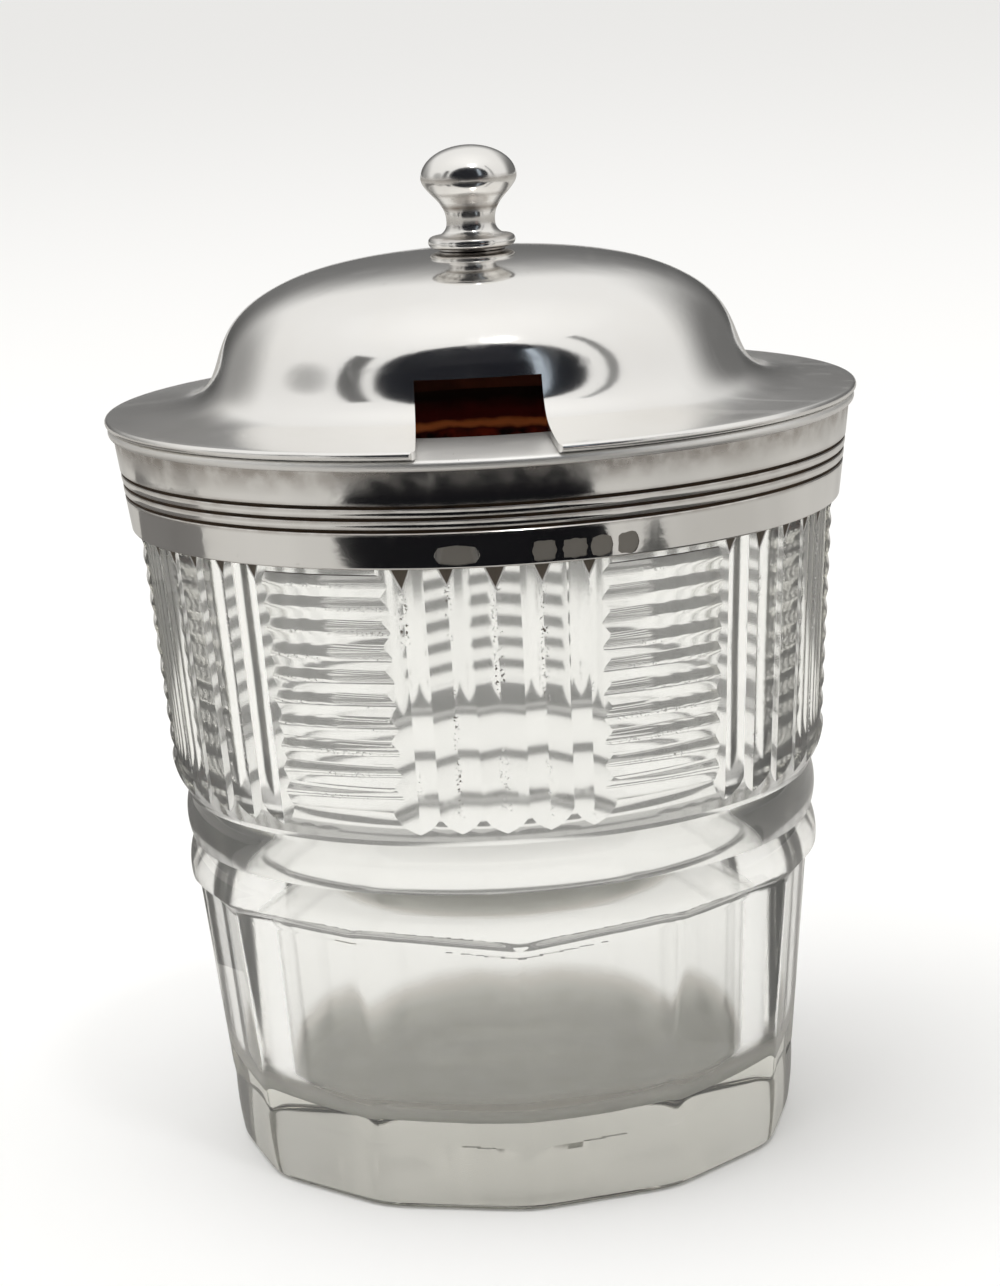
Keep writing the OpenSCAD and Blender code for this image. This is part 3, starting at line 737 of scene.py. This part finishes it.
# %% Hinge leaf with its two knuckles
LEAF_IN, LEAF_SOFT, WEB_SIDE = 25, 0.1, 0.866
BACK = [(10, 50), (60, 50), (60, 70), (10, 70)]
leaf_r = sleeve(LEAF_TOP) + LEAF
leaf_low = LEAF_TOP - LEAF_HEIGHT
outline = [(LEAF_IN, leaf_low), (leaf_r - LEAF_SOFT, leaf_low), (leaf_r, leaf_low + LEAF_SOFT)]
outline += [(leaf_r, LEAF_TOP), (LEAF_IN, LEAF_TOP)]
leaf = turned("collar_hinge_leaf", outline, SILVER_STEPS)
cut(leaf, [strip("keep", BACK, -HINGE / 2, HINGE / 2)], "INTERSECT")
web = [(leaf_r - 2 * LEAF, leaf_low + LEAF_SOFT), (leaf_r, leaf_low + LEAF_SOFT)]
web += [(HINGE_Y + KNUCKLE * WEB_SIDE, HINGE_Z - KNUCKLE / 2), (HINGE_Y, HINGE_Z)]
web += [(HINGE_Y - KNUCKLE, HINGE_Z), (leaf_r - 2 * LEAF, LEAF_TOP)]
knuckles = []
for start in (-HINGE / 2, HINGE / 2 - FIXED):
    knuckles.append(tube("knuckle", KNUCKLE, start, start + FIXED))
    knuckles.append(strip("web", web, start + SOFT_END, start + FIXED - SOFT_END))
cut(leaf, knuckles, "UNION")
room_for_lid = LID + SWING / 2
outline = [(0, COLLAR_Z), (SLEEVE_FOOT + SEAT, COLLAR_Z), (sleeve(LEAF_TOP) + SEAT, LEAF_TOP)]
outline += [(room_for_lid, LEAF_TOP), (room_for_lid, APEX_Z), (0, APEX_Z)]
cut(leaf, [turned("space", outline, SILVER_STEPS), bore()])
shaded(leaf)
settle(leaf, "pot", "silver", "hinge_leaf")

# %% Pin, and the lid's knuckle
PIN_PROUD, PEEN, PEEN_AT, PEEN_HALF = 0.2, 0.3, 0.18, 0.15
EDGE_SPACE = [(0, 50), (LID + SEAT, 50), (LID + SEAT, 80), (0, 80)]
pin = tube("hinge_wire_pin", PIN, -HINGE / 2 - PIN_PROUD, HINGE / 2 + PIN_PROUD, soft=0)
heads = []
for end in (-HINGE / 2 - PEEN_AT, HINGE / 2 + PEEN_AT):
    heads.append(tube("head", PIN + PEEN, end - PEEN_HALF, end + PEEN_HALF))
cut(pin, heads, "UNION")
shaded(pin)
settle(pin, "pot", "pin_wire", "hinge_pin")

lug = tube("lid_hinge_knuckle", KNUCKLE, -LID_KNUCKLE / 2, LID_KNUCKLE / 2)
low, high = EDGE_Z - LID_SHEET / 2, EDGE_Z + LID_SHEET / 2
web = [(EDGE_R, low), (HINGE_Y, low), (HINGE_Y, high), (EDGE_R, high)]
cut(lug, [strip("web", web, -LID_KNUCKLE / 2 + SOFT_END, LID_KNUCKLE / 2 - SOFT_END)], "UNION")
cut(lug, [turned("edge_space", EDGE_SPACE, SILVER_STEPS), bore()])
shaded(lug)
settle(lug, "hinged_lid", "silver", "lid_knuckle")

# %% [markdown]
# ## Finishes
#
# Each finish is a small net of nodes on one Principled shader. Nodes could be placed by hand in the Shader
# Editor. Here a helper adds a node and joins its inputs, so that a net reads like a list of steps. The room
# around the pot is a net too, and uses the same helper.

# %% Helpers for nets of nodes


class Net:
    """A tree of nodes, and short ways to add to it."""

    def __init__(self, tree):
        self.tree = tree

    def add(self, kind, values=None, **settings):
        """A node with its settings; values go to its inputs, as numbers or as another node's output."""
        node = self.tree.nodes.new(kind)
        for key, value in settings.items():
            setattr(node, key, value)
        for key, value in (values or {}).items():
            self.feed(node.inputs[key], value)
        return node

    def feed(self, socket, value):
        """Joins another node's output to a socket, or sets it to a number."""
        if isinstance(value, bpy.types.NodeSocket):
            self.tree.links.new(value, socket)
        else:
            socket.default_value = value

    def math(self, operation, *values):
        return self.add("ShaderNodeMath", dict(enumerate(values)), operation=operation).outputs[0]

    def times(self, first, *others):
        """All the values multiplied."""
        for other in others:
            first = self.math("MULTIPLY", first, other)
        return first

    def ramp(self, value, low, high, start=0.0, end=1.0, **settings):
        """value from low to high becomes start to end, and stays there outside."""
        values = {"Value": value, "From Min": low, "From Max": high, "To Min": start, "To Max": end}
        return self.add("ShaderNodeMapRange", values, **settings).outputs["Result"]

    def mix(self, share, first, second, **settings):
        """From the first colour to the second."""
        values = {0: share, 6: first, 7: second}
        return self.add("ShaderNodeMix", values, data_type="RGBA", **settings).outputs[2]


print("helper ready: Net")

# %% Helpers for finishes


class Finish(Net):
    """A material with one Principled shader."""

    def __init__(self, name):
        self.material = bpy.data.materials.new(name)
        self.material.use_nodes = True
        super().__init__(self.material.node_tree)
        self.shader = self.tree.nodes["Principled BSDF"]
        self.place = self.add("ShaderNodeTexCoord").outputs["Object"]

    def give(self, name, value):
        """Feeds one of the shader's inputs."""
        self.feed(self.shader.inputs[name], value)

    def noise(self, scale, detail=3.0, stretch=(1, 1, 1), turn=(0, 0, 0)):
        """Noise of a scale and a detail, drawn out and turned."""
        values = {"Vector": self.place, "Rotation": turn, "Scale": stretch}
        place = self.add("ShaderNodeMapping", values).outputs[0]
        values = {"Vector": place, "Scale": scale, "Detail": detail}
        return self.add("ShaderNodeTexNoise", values).outputs["Fac"]

    def bump(self, height, strength, distance):
        """A relief that only bends the light, at most distance high."""
        values = {"Height": height, "Strength": strength, "Distance": distance}
        self.give("Normal", self.add("ShaderNodeBump", values).outputs["Normal"])

    def surface(self, grain, dull, relief, strength, distance):
        """Roughness that wanders between two values, and a fine relief; grain and relief describe noises."""
        self.give("Roughness", self.ramp(self.noise(*grain), 0.3, 0.7, *dull))
        self.bump(self.noise(*relief), strength, distance)

    def reach(self):
        """Distance from the pot's axis in mm."""
        values = {0: self.place, 1: (1 / MM, 1 / MM, 0)}
        level = self.add("ShaderNodeVectorMath", values, operation="MULTIPLY").outputs[0]
        return self.add("ShaderNodeVectorMath", {0: level}, operation="LENGTH").outputs["Value"]

    def height(self):
        """Height above the table in mm."""
        z = self.add("ShaderNodeSeparateXYZ", {0: self.place}).outputs["Z"]
        return self.math("MULTIPLY", z, 1 / MM)


print("helper ready: Finish")

# %% [markdown]
# ### Silver
#
# Old silver is bright, but never a perfect mirror: years of polishing leave fine scratches that run every
# way, and tarnish stays where a cloth doesn't reach. The scratches are noise drawn out long in three
# directions. A painted mask could place the tarnish, but it lies at known heights: in the lines between the
# reeds, in the punches and under the rim's lip. So it follows height and depth.

# %% Silver
SILVER_WHITE, SILVER_WARM, TARNISH = (0.93, 0.92, 0.9, 1), (0.83, 0.8, 0.75, 1), (0.16, 0.11, 0.07, 1)
IN_PUNCH, IN_LINE = (0.38, 0.36, 0.33, 1), (0.025, 0.022, 0.02, 1)
PUNCH_TOP_Z, SATIN_FROM, SATIN_TO = 56, 20, 27
# How the noise of each kind of scratch is drawn out, and how it is turned
SCRATCHES = [((1, 0.04, 1), (0, 0, 0.4)), ((0.05, 1, 1), (0.3, 0, 0.9)), ((1, 1, 0.05), (0.5, 0.4, 0))]


def tarnished(f, z, dirt_lines):
    """Where tarnish lies, from (height, half width, strength) of each line, broken up by noise."""
    dirt = 0.0
    for height, half, strength in dirt_lines:
        off = f.math("ABSOLUTE", f.math("SUBTRACT", z, height))
        dirt = f.math("MAXIMUM", dirt, f.ramp(off, 0, half, strength, 0))
    return f.times(dirt, f.ramp(f.noise(500, 3), 0.35, 0.6, 0.45, 1))


def silver(name, dirt_lines=(), scratch=0.35, dull=0.0, recessed=False, satin_edge=0.0):
    """Polished silver. A recessed finish is dark in punches and lines, and a satin edge is duller."""
    f = Finish(name)
    z = f.height()
    lines = [f.ramp(f.noise(420, 2, stretch, turn), 0.62, 0.72) for stretch, turn in SCRATCHES]
    lines = f.math("MAXIMUM", f.math("MAXIMUM", lines[0], lines[1]), lines[2])
    rough = f.ramp(f.noise(90, 5), 0.3, 0.7, 0.035 + dull, 0.09 + dull)
    rough = f.math("MULTIPLY_ADD", lines, 0.05, rough)
    cloudy = f.times(f.ramp(f.noise(60, 4), 0.45, 0.75), 0.5)
    pits = f.times(f.ramp(f.noise(2600, 2), 0.72, 0.75), f.ramp(f.noise(70, 3), 0.55, 0.68), 0.6)
    color = f.mix(pits, f.mix(cloudy, SILVER_WHITE, SILVER_WARM), TARNISH)
    if recessed:
        outside = f.math("MULTIPLY_ADD", z, SLEEVE_FLARE / SLEEVE_HEIGHT, sleeve(0))
        deep = f.ramp(f.math("SUBTRACT", outside, f.reach()), 0.05, 0.1)
        color = f.mix(deep, color, f.mix(f.ramp(z, PUNCH_TOP_Z, PUNCH_TOP_Z + 0.2), IN_PUNCH, IN_LINE))
        rough = f.math("MULTIPLY_ADD", deep, 0.35, rough)
    if dirt_lines:
        dirt = tarnished(f, z, dirt_lines)
        color = f.mix(dirt, color, TARNISH)
        rough = f.math("MULTIPLY_ADD", dirt, 0.4, rough)
    if satin_edge:
        rough = f.math("ADD", rough, f.ramp(f.reach(), SATIN_FROM, SATIN_TO, 0, satin_edge))
    f.give("Base Color", color)
    f.give("Metallic", 1.0)
    f.give("Roughness", rough)
    f.bump(f.math("SUBTRACT", f.noise(900, 2), f.times(lines, 0.6)), scratch, distance=0.00001)
    return f


print("scratches run in", len(SCRATCHES), "directions")

# %% The four silver finishes
finial_lines = [(APEX_Z, 0.25, 0.8), (STEM_Z, 0.3, 0.8), (STEM_Z + RING_THICK, 0.4, 0.6), (NECK_Z, 0.9, 0.35)]
finial_lines += [(KNOB_Z, 0.4, 0.5), (KNOB_Z - 1.3, 0.25, 0.4), (KNOB_Z - 2.4, 0.45, 0.8)]
collar_lines = [(61.2, 1.9, 0.6), (COLLAR_Z, 0.12, 0.8)] + [(z, 0.45, 0.75) for z in lines]
lid_silver = silver("lid_silver", dull=0.02, satin_edge=0.13)
finial_silver = silver("finial_silver", finial_lines, scratch=0.9, dull=0.1)
collar_silver = silver("collar_silver", collar_lines, dull=0.015, recessed=True)
rim_silver = silver("rim_silver", [(61.3, 0.25, 0.8)], dull=0.4)
print("tarnish lines on the collar:", len(collar_lines), "and on the finial:", len(finial_lines))

# %% [markdown]
# ### Gilding, wire, plaster and residue
#
# Mustard stains silver, so the inside of a lid was gilded. Here the gilding and the plaster have gone dark
# brown with use, and dried residue lies in the mouth: amber in one narrow band, dark red and nearly black
# around it. The pin is a bit of drawn wire. All four are noise between two colours, and the residue also
# follows height, with a wavy edge.

# %% Gilding, wire and plaster
GILT_BROWN, GILT_DARK = (0.035, 0.01, 0.006, 1), (0.018, 0.006, 0.004, 1)
WIRE_BRIGHT, WIRE_GREY = (0.66, 0.64, 0.6, 1), (0.3, 0.27, 0.24, 1)
BED_BROWN, BED_DARK = (0.07, 0.014, 0.007, 1), (0.03, 0.007, 0.004, 1)

gilt = Finish("worn_gilding")
gilt.give("Base Color", gilt.mix(gilt.ramp(gilt.noise(140, 5), 0.42, 0.66), GILT_BROWN, GILT_DARK))
gilt.give("Metallic", 1.0)
gilt.surface(grain=(200, 4), dull=(0.25, 0.45), relief=(700, 3), strength=0.3, distance=0.00002)

wire = Finish("drawn_wire")
wire.give("Base Color", wire.mix(wire.ramp(wire.noise(900, 3), 0.4, 0.7), WIRE_BRIGHT, WIRE_GREY))
wire.give("Metallic", 1.0)
drawn, scored = (700, 2, (0.05, 1, 1)), (1500, 2, (0.03, 1, 1))
wire.surface(grain=drawn, dull=(0.2, 0.4), relief=scored, strength=0.4, distance=0.00002)

plaster = Finish("bedding_plaster")
plaster.give("Base Color", plaster.mix(plaster.ramp(plaster.noise(300, 5), 0.4, 0.7), BED_BROWN, BED_DARK))
plaster.surface(grain=(400, 3), dull=(0.75, 0.95), relief=(1200, 4), strength=0.5, distance=0.0001)
print("gilding, wire and plaster made")

# %% Dried residue
RESIDUE_RED, RESIDUE_TOP = (0.05, 0.004, 0.003, 1), (0.008, 0.003, 0.002, 1)
RESIDUE_LOW, RESIDUE_LOW_DARK = (0.12, 0.012, 0.004, 1), (0.008, 0.002, 0.002, 1)
RESIDUE_AMBER = (0.37, 0.1, 0.028, 1)

residue = Finish("dried_residue")
stain_z = residue.math("ADD", residue.height(), residue.ramp(residue.noise(380, 2), 0.35, 0.65, -0.16, 0.16))
upper = residue.mix(residue.ramp(stain_z, 58.2, 59.6), RESIDUE_RED, RESIDUE_TOP)
lower = residue.mix(residue.ramp(residue.noise(420, 3), 0.42, 0.6), RESIDUE_LOW, RESIDUE_LOW_DARK)
stain = residue.mix(residue.ramp(stain_z, 56.5, 56.8), lower, upper)
amber = residue.times(residue.ramp(stain_z, 56.75, 57.05), residue.ramp(stain_z, 57.3, 57.65, 1, 0))
residue.give("Base Color", residue.mix(amber, stain, RESIDUE_AMBER))
residue.give("Specular IOR Level", 0.05)
residue.surface(grain=(400, 3), dull=(0.8, 0.95), relief=(900, 4), strength=0.5, distance=0.0001)
print("residue from", RESIDUE_Z, "mm up")

# %% [markdown]
# ### Cut glass
#
# Clear glass is mostly what lies behind it, so its finish is a clear shader with the index of plain glass and
# a little colour in its depth. What makes it old is the grime at the bottom of the cuts, which no brush
# reaches. Painting it would need an image. But the uncut band is a plain cone, so how far a point lies inside
# that cone is its depth in a cut, and noise breaks the grime up. Its angle tells flutes from ladders. The
# same
# mask also carries painted shade: a dark wedge at the top of each flute valley, under the collar's edge.

# %% Grime in the cuts of the glass, and painted shade under the collar
RUNG_GRIME, LADDER_REACH = (0.21, 0.235), (1.4 * UNIT, 1.5 * UNIT)
FIRST_LADDER, SIDE_LADDER = (FLUTES[0] + LADDER) / 2 * UNIT, 90.0
glass = Finish("cut_glass")
spot = glass.add("ShaderNodeSeparateXYZ", {0: glass.place}).outputs
angle = glass.math("DEGREES", glass.math("ARCTAN2", spot["X"], glass.math("MULTIPLY", spot["Y"], -1.0)))
reach, height = glass.reach(), glass.height()

slope = (BAND_TOP - BAND_FOOT) / (COLLAR_Z - BAND_Z)
depth = glass.math("SUBTRACT", glass.math("MULTIPLY_ADD", height, slope, BAND_FOOT - BAND_Z * slope), reach)
turn = glass.math("WRAP", glass.math("SUBTRACT", angle, PATTERN_TURN), 180.0, -180.0)
turn = glass.math("ABSOLUTE", turn)
turn = glass.math("MINIMUM", turn, glass.math("SUBTRACT", 180.0, turn))
to_first = glass.math("ABSOLUTE", glass.math("SUBTRACT", turn, FIRST_LADDER))
to_side = glass.math("ABSOLUTE", glass.math("SUBTRACT", turn, SIDE_LADDER))
in_ladder = glass.ramp(glass.math("MINIMUM", to_first, to_side), *LADDER_REACH, 1, 0)
in_flutes = glass.math("SUBTRACT", 1.0, in_ladder)
flute_dirt = glass.times(glass.ramp(depth, FLUTE_DEPTH - 0.09, FLUTE_DEPTH - 0.05), in_flutes)
rung_dirt = glass.times(glass.ramp(depth, *RUNG_GRIME, 0, 0.7), in_ladder)
specks, patches = glass.ramp(glass.noise(4200, 3), 0.55, 0.62), glass.ramp(glass.noise(190, 3), 0.46, 0.62)
grime_and_shade = glass.times(glass.math("MAXIMUM", flute_dirt, rung_dirt), specks, patches)
# Painted shade: a dark wedge at the top of each flute valley, just under the collar, where its shadow falls.
# It joins the grime, so the grime's colour carries both.
painted_shade_under_collar = glass.ramp(glass.math("MULTIPLY_ADD", depth, 9.0, height), COLLAR_Z + 2.6, COLLAR_Z + 3.1)
grime_and_shade = glass.math("MAXIMUM", grime_and_shade, glass.times(painted_shade_under_collar, in_flutes))
over_rings = glass.ramp(height, BAND_Z - 1.2, BAND_Z - 0.4)
under_shoulder = glass.ramp(height, SHOULDER_Z - 0.1, SHOULDER_Z, 1, 0)
grime_and_shade = glass.times(grime_and_shade, over_rings, under_shoulder, glass.ramp(reach, 25, 25.5))
print("grime made with", len(glass.tree.nodes), "nodes")

# %% [markdown]
# The inside is a little hazy from use, and its floor is grey with a brown edge. Both are found by
# place: inside a cone just outside the inner wall, and near the floor.

# %% Haze inside the glass, and grey on its floor
INNER_HAZE, BOTTOM_HAZE, GRIME_HAZE = 0.08, 0.1, 0.6
FLOOR_PATCH_GREY, FLOOR_PATCH_BROWN = (0.66, 0.655, 0.58, 1), (0.4, 0.3, 0.17, 1)
wall_slope = (MOUTH - FLOOR) / (LIP_Z - FLOOR_Z)
inner = glass.math("SUBTRACT", glass.math("MULTIPLY", height, wall_slope), reach)
inner = glass.ramp(inner, -FLOOR - 0.9, -FLOOR - 0.6)
inner = glass.times(inner, glass.ramp(height, FLOOR_Z - 0.6, FLOOR_Z - 0.3))
# The inner floor turns grey, with a brown edge, fading out 3.2 mm above it.
floor_patch = glass.times(inner, glass.ramp(height, FLOOR_Z + 0.4, FLOOR_Z + 3.2, 1, 0))
floor_patch = glass.times(floor_patch, glass.ramp(glass.noise(160, 4), 0.3, 0.7, 0.75, 1))
floor_patch_edge = glass.times(glass.ramp(floor_patch, 0.05, 0.3), glass.ramp(floor_patch, 0.45, 0.75, 1, 0))
haze = glass.math("MAXIMUM", glass.times(inner, INNER_HAZE), glass.ramp(height, 0.02, 0.06, BOTTOM_HAZE, 0))
haze = glass.math("MULTIPLY_ADD", glass.math("MAXIMUM", grime_and_shade, floor_patch), GRIME_HAZE, haze)
print("film up to", FLOOR_Z + 3.2, "mm")

# %% Cut glass
CLEAR, GRIME_AND_SHADE = (0.99, 0.99, 0.98, 1), (0.06, 0.045, 0.03, 1)
PLAIN_GLASS, DEPTH_COLOR, DEPTH_DENSITY = 1.52, (0.9, 0.892, 0.845, 1), 40.0
floor_patched = glass.mix(floor_patch, CLEAR, glass.mix(floor_patch_edge, FLOOR_PATCH_GREY, FLOOR_PATCH_BROWN))
clear = glass.math("SUBTRACT", glass.ramp(height, 52, 54, 0.94, 1), glass.times(floor_patch, 0.5))
# The glass turns dark with the grime in the cuts and with the painted shade under the collar.
glass.give("Base Color", glass.mix(grime_and_shade, floor_patched, GRIME_AND_SHADE))
glass.give("Roughness", glass.math("ADD", haze, glass.ramp(glass.noise(120, 4), 0.4, 0.7, 0, 0.015)))
glass.give("Transmission Weight", glass.times(clear, glass.ramp(grime_and_shade, 0, 1, 1, 0.1)))
glass.give("IOR", PLAIN_GLASS)
depth_tint = glass.add("ShaderNodeVolumeAbsorption", {"Color": DEPTH_COLOR, "Density": DEPTH_DENSITY})
glass.feed(glass.tree.nodes["Material Output"].inputs["Volume"], depth_tint.outputs[0])
glass.bump(glass.noise(70, 2), strength=0.06, distance=0.0003)
print("glass finish made with", len(glass.tree.nodes), "nodes")

# %% [markdown]
# ### A finish for each piece
#
# Each piece gets one finish. Three get a second one on some of their faces: the jar's mouth, the rim's skirt
# and the hollow of the lid. Faces are chosen by where they lie, so no seams have to be marked by hand.

# %% Give each piece its finish
MARGIN, GILT_REACH, UNDER_APEX = 0.1, 22.3, 0.3
FACES_DOWN, FACES_IN = -0.02, -0.6


def second(piece, finish, chosen):
    """Gives the chosen faces of a piece a second finish."""
    piece.data.materials.append(finish.material)
    for face in piece.data.polygons:
        face.material_index = 1 if chosen(face) else 0
    print(finish.material.name, "on", sum(face.material_index for face in piece.data.polygons), "faces")


def reach_of(face):
    """Distance of a face's middle from the axis."""
    return Vector(face.center.xy).length


def in_mouth(face):
    """On the jar's inner wall, where residue lies."""
    return face.center.z > RESIDUE_Z * MM and reach_of(face) < (MOUTH + MARGIN) * MM


def on_skirt(face):
    """On the inner side of the rim's skirt and its lower edge."""
    return reach_of(face) < (SKIRT_OUT - MARGIN) * MM


def in_hollow(face):
    """On the underside of the dome."""
    inward = face.normal.xy.dot(face.center.xy) < FACES_IN * reach_of(face)
    within = reach_of(face) < GILT_REACH * MM and face.center.z < (APEX_Z - UNDER_APEX) * MM
    return within and (inward or face.normal.z < FACES_DOWN)


finishes = {jar: glass, bed: plaster, collar: collar_silver, rim: rim_silver, leaf: lid_silver, pin: wire}
finishes.update({lid: lid_silver, lug: lid_silver, finial: finial_silver, nut: lid_silver})
for piece, finish in finishes.items():
    piece.data.materials.clear()
    piece.data.materials.append(finish.material)
second(jar, residue, in_mouth)
second(rim, gilt, on_skirt)
second(lid, gilt, in_hollow)

# %% [markdown]
# ## Light
#
# Silver and glass show their surroundings, so the light is mostly a matter of what stands around the pot.
# A picture of a room could be wrapped round the scene, but nothing in it could be moved. So the room is
# a net of nodes that works on the direction of a ray: white, brighter overhead, with a few soft dark places.
# The silver mirrors all of it. Through the glass the dark places show less, and the floor is lit by a plain
# white room.

# %% Room
# How bright the room is in the silver, from the level of the table to straight overhead
SKY = [(0.0, 0.72), (0.17, 0.79), (0.5, 0.84), (0.8, 0.88), (0.94, 0.95), (1.0, 1.0)]
# Soft dark places in the room: angle from the front, rise, core and reach in degrees, and how dark
SHADES = [(140, 1, 14, 42, 0.8), (186, -1, 10, 38, 0.78), (-138, 0, 8, 36, 0.6), (-82, 14, 3, 17, 0.5)]
THROUGH_GLASS, PLAIN_ROOM, WARMTH = 0.45, (0.86, 0.853, 0.84, 1), (1, 0.992, 0.975)
scene = bpy.context.scene
scene.view_settings.view_transform = "Standard"
world = bpy.data.worlds.new("white_room")
world.use_nodes = True
walls = Net(world.node_tree)
direction = walls.add("ShaderNodeTexCoord").outputs["Generated"]
toward = walls.add("ShaderNodeSeparateXYZ", {0: direction}).outputs
sky = walls.add("ShaderNodeValToRGB", {0: toward["Z"]})
while len(sky.color_ramp.elements) < len(SKY):
    sky.color_ramp.elements.new(1.0)
for element, (place, bright) in zip(sky.color_ramp.elements, SKY):
    element.position, element.color = place, [bright * share for share in WARMTH] + [1]
room = sky.outputs[0]
for turn, rise, core, far, dark in SHADES:
    rise, core, far = [math.radians(degrees) for degrees in (rise, core, far)]
    aim = round_about(turn, math.cos(rise), 0, math.sin(rise))
    near = walls.add("ShaderNodeVectorMath", {0: direction, 1: aim}, operation="DOT_PRODUCT").outputs["Value"]
    soft = walls.ramp(near, math.cos(far), math.cos(core), 1.0, 1 - dark, interpolation_type="SMOOTHSTEP")
    room = walls.mix(1.0, room, soft, blend_type="MULTIPLY")
rays = walls.add("ShaderNodeLightPath").outputs
through = walls.math("MULTIPLY_ADD", rays["Is Transmission Ray"], THROUGH_GLASS - 1, 1.0)
mirrored = walls.times(through, rays["Is Glossy Ray"])
backdrop = walls.tree.nodes["Background"].inputs
walls.feed(backdrop["Color"], walls.mix(mirrored, PLAIN_ROOM, room))
walls.feed(backdrop["Strength"], 1.0)
scene.world = world
print("room with", len(SHADES), "dark places")

# %% [markdown]
# ### Floor and cards
#
# Near things make the sharp dark shapes in polished silver and the dark lines in cut glass. They could be
# modelled as a whole table, but only their outlines show. So they are flat cards, as a studio uses them, and
# each is seen only where it is needed: in the silver or through the glass. All rays see the pale floor.

# %% Helpers for cards
CARD_ROUGH, CARD_SHADE, OVAL_STEPS, ON_TABLE = 0.9, 0.85, 48, -0.00003


def card(name, color, corners, seen="silver"):
    """A flat card with corners in metres, seen in the silver, through the glass or by all."""
    mesh = bpy.data.meshes.new(name)
    mesh.from_pydata(corners, [], [tuple(range(len(corners)))])
    piece = bpy.data.objects.new(name, mesh)
    bpy.context.collection.objects.link(piece)
    f = Finish(name)
    cloudy = f.mix(f.ramp(f.noise(9, 2), 0.35, 0.65), color, [c * CARD_SHADE for c in color[:3]] + [1])
    f.give("Base Color", color if seen == "all" else cloudy)
    f.give("Roughness", CARD_ROUGH)
    f.give("Specular IOR Level", 0.0)
    mesh.materials.append(f.material)
    if seen != "all":
        piece.visible_camera = piece.visible_diffuse = piece.visible_shadow = False
        piece.visible_transmission = seen == "glass"
        piece.visible_glossy = seen == "silver"
    return piece


def upright(name, color, angle, distance, width, low, high, seen="silver"):
    """A card that stands at an angle from the front, facing the pot."""
    sides = ((-1, low), (1, low), (1, high), (-1, high))
    return card(name, color, [round_about(angle, distance, side * width / 2, z) for side, z in sides], seen)


def oval(name, color, angle, distance, width, low, high):
    """An oval card that stands at an angle from the front, facing the pot."""
    middle, half = (low + high) / 2, (high - low) / 2
    corners = []
    for i in range(OVAL_STEPS):
        t = 2 * math.pi * i / OVAL_STEPS
        corners.append(round_about(angle, distance, math.cos(t) * width / 2, middle + half * math.sin(t)))
    return card(name, color, corners)


def level(name, color, x, y, z=ON_TABLE, seen="silver"):
    """A card that lies on the table, from x[0] to x[1] and y[0] to y[1]."""
    return card(name, color, [(x[0], y[0], z), (x[1], y[0], z), (x[1], y[1], z), (x[0], y[1], z)], seen)


print("helpers ready: card, upright, oval, level")

# %% Floor and cards
FLOOR_SPAN, TABLE_SPAN, FLOOR_AT, TABLE_AT = (-20, 20), (-2.5, 2.5), -0.0001, -0.00007
# Lying cards: from where to where in x and in y
level("pale_floor", (0.95, 0.95, 0.945, 1), FLOOR_SPAN, FLOOR_SPAN, FLOOR_AT, "all")
level("grey_table", (0.52, 0.51, 0.49, 1), TABLE_SPAN, TABLE_SPAN, TABLE_AT)
level("dark_table_edge", (0.006, 0.006, 0.007, 1), (-0.11, 0.085), (-0.21, -0.105))
level("dark_cloth", (0.09, 0.09, 0.087, 1), (0.04, 0.12), (-0.1, 0.01))
level("shaded_table", (0.17, 0.165, 0.16, 1), (-0.2, -0.045), (0.02, 0.2))
# Standing cards: angle from the front, distance, width, and heights of the lower and upper edge
oval("dark_screen", (0.006, 0.007, 0.011, 1), 1, 0.45, 1.05, -0.12, 0.88)
upright("blue_strip", (0.4, 0.46, 0.53, 1), 29, 0.43, 0.05, 0.2, 0.55)
upright("red_strip", (0.3, 0.2, 0.18, 1), 28, 0.43, 0.04, 0.0, 0.1)
upright("dark_bar_left", (0.12, 0.12, 0.12, 1), -60, 0.44, 0.09, 0.12, 0.45)
upright("dark_bar_right", (0.2, 0.2, 0.2, 1), 62, 0.44, 0.04, 0.12, 0.7)
upright("low_wall", (0.15, 0.15, 0.148, 1), 182, 0.27, 0.28, 0.0, 0.052, "glass")
upright("low_wall_right", (0.18, 0.18, 0.177, 1), 142, 0.28, 0.16, 0.0, 0.05, "glass")

# %% [markdown]
# ### Lamps
#
# A large soft lamp overhead adds to the room's light, and a small one puts a bright spark on the silver.
# Lamps give less grain than bright cards do. The large one isn't mirrored, because its square would show.

# %% Lamps
LAMP_AIM = Vector((0, 0, 0.04))


def lamp(name, place, size, energy, mirrored):
    """A soft square lamp, aimed at the pot."""
    piece = bpy.data.objects.new(name, bpy.data.lights.new(name, "AREA"))
    piece.data.size, piece.data.energy = size, energy
    piece.location = place
    piece.rotation_euler = (LAMP_AIM - piece.location).to_track_quat("-Z", "Y").to_euler()
    piece.visible_glossy = mirrored
    bpy.context.collection.objects.link(piece)
    print(name, energy, "W")


lamp("ceiling_lamp", (-0.3, -0.2, 1.2), size=1.0, energy=5.0, mirrored=False)
lamp("small_lamp", (0.12, -0.35, 0.9), size=0.07, energy=0.6, mirrored=True)
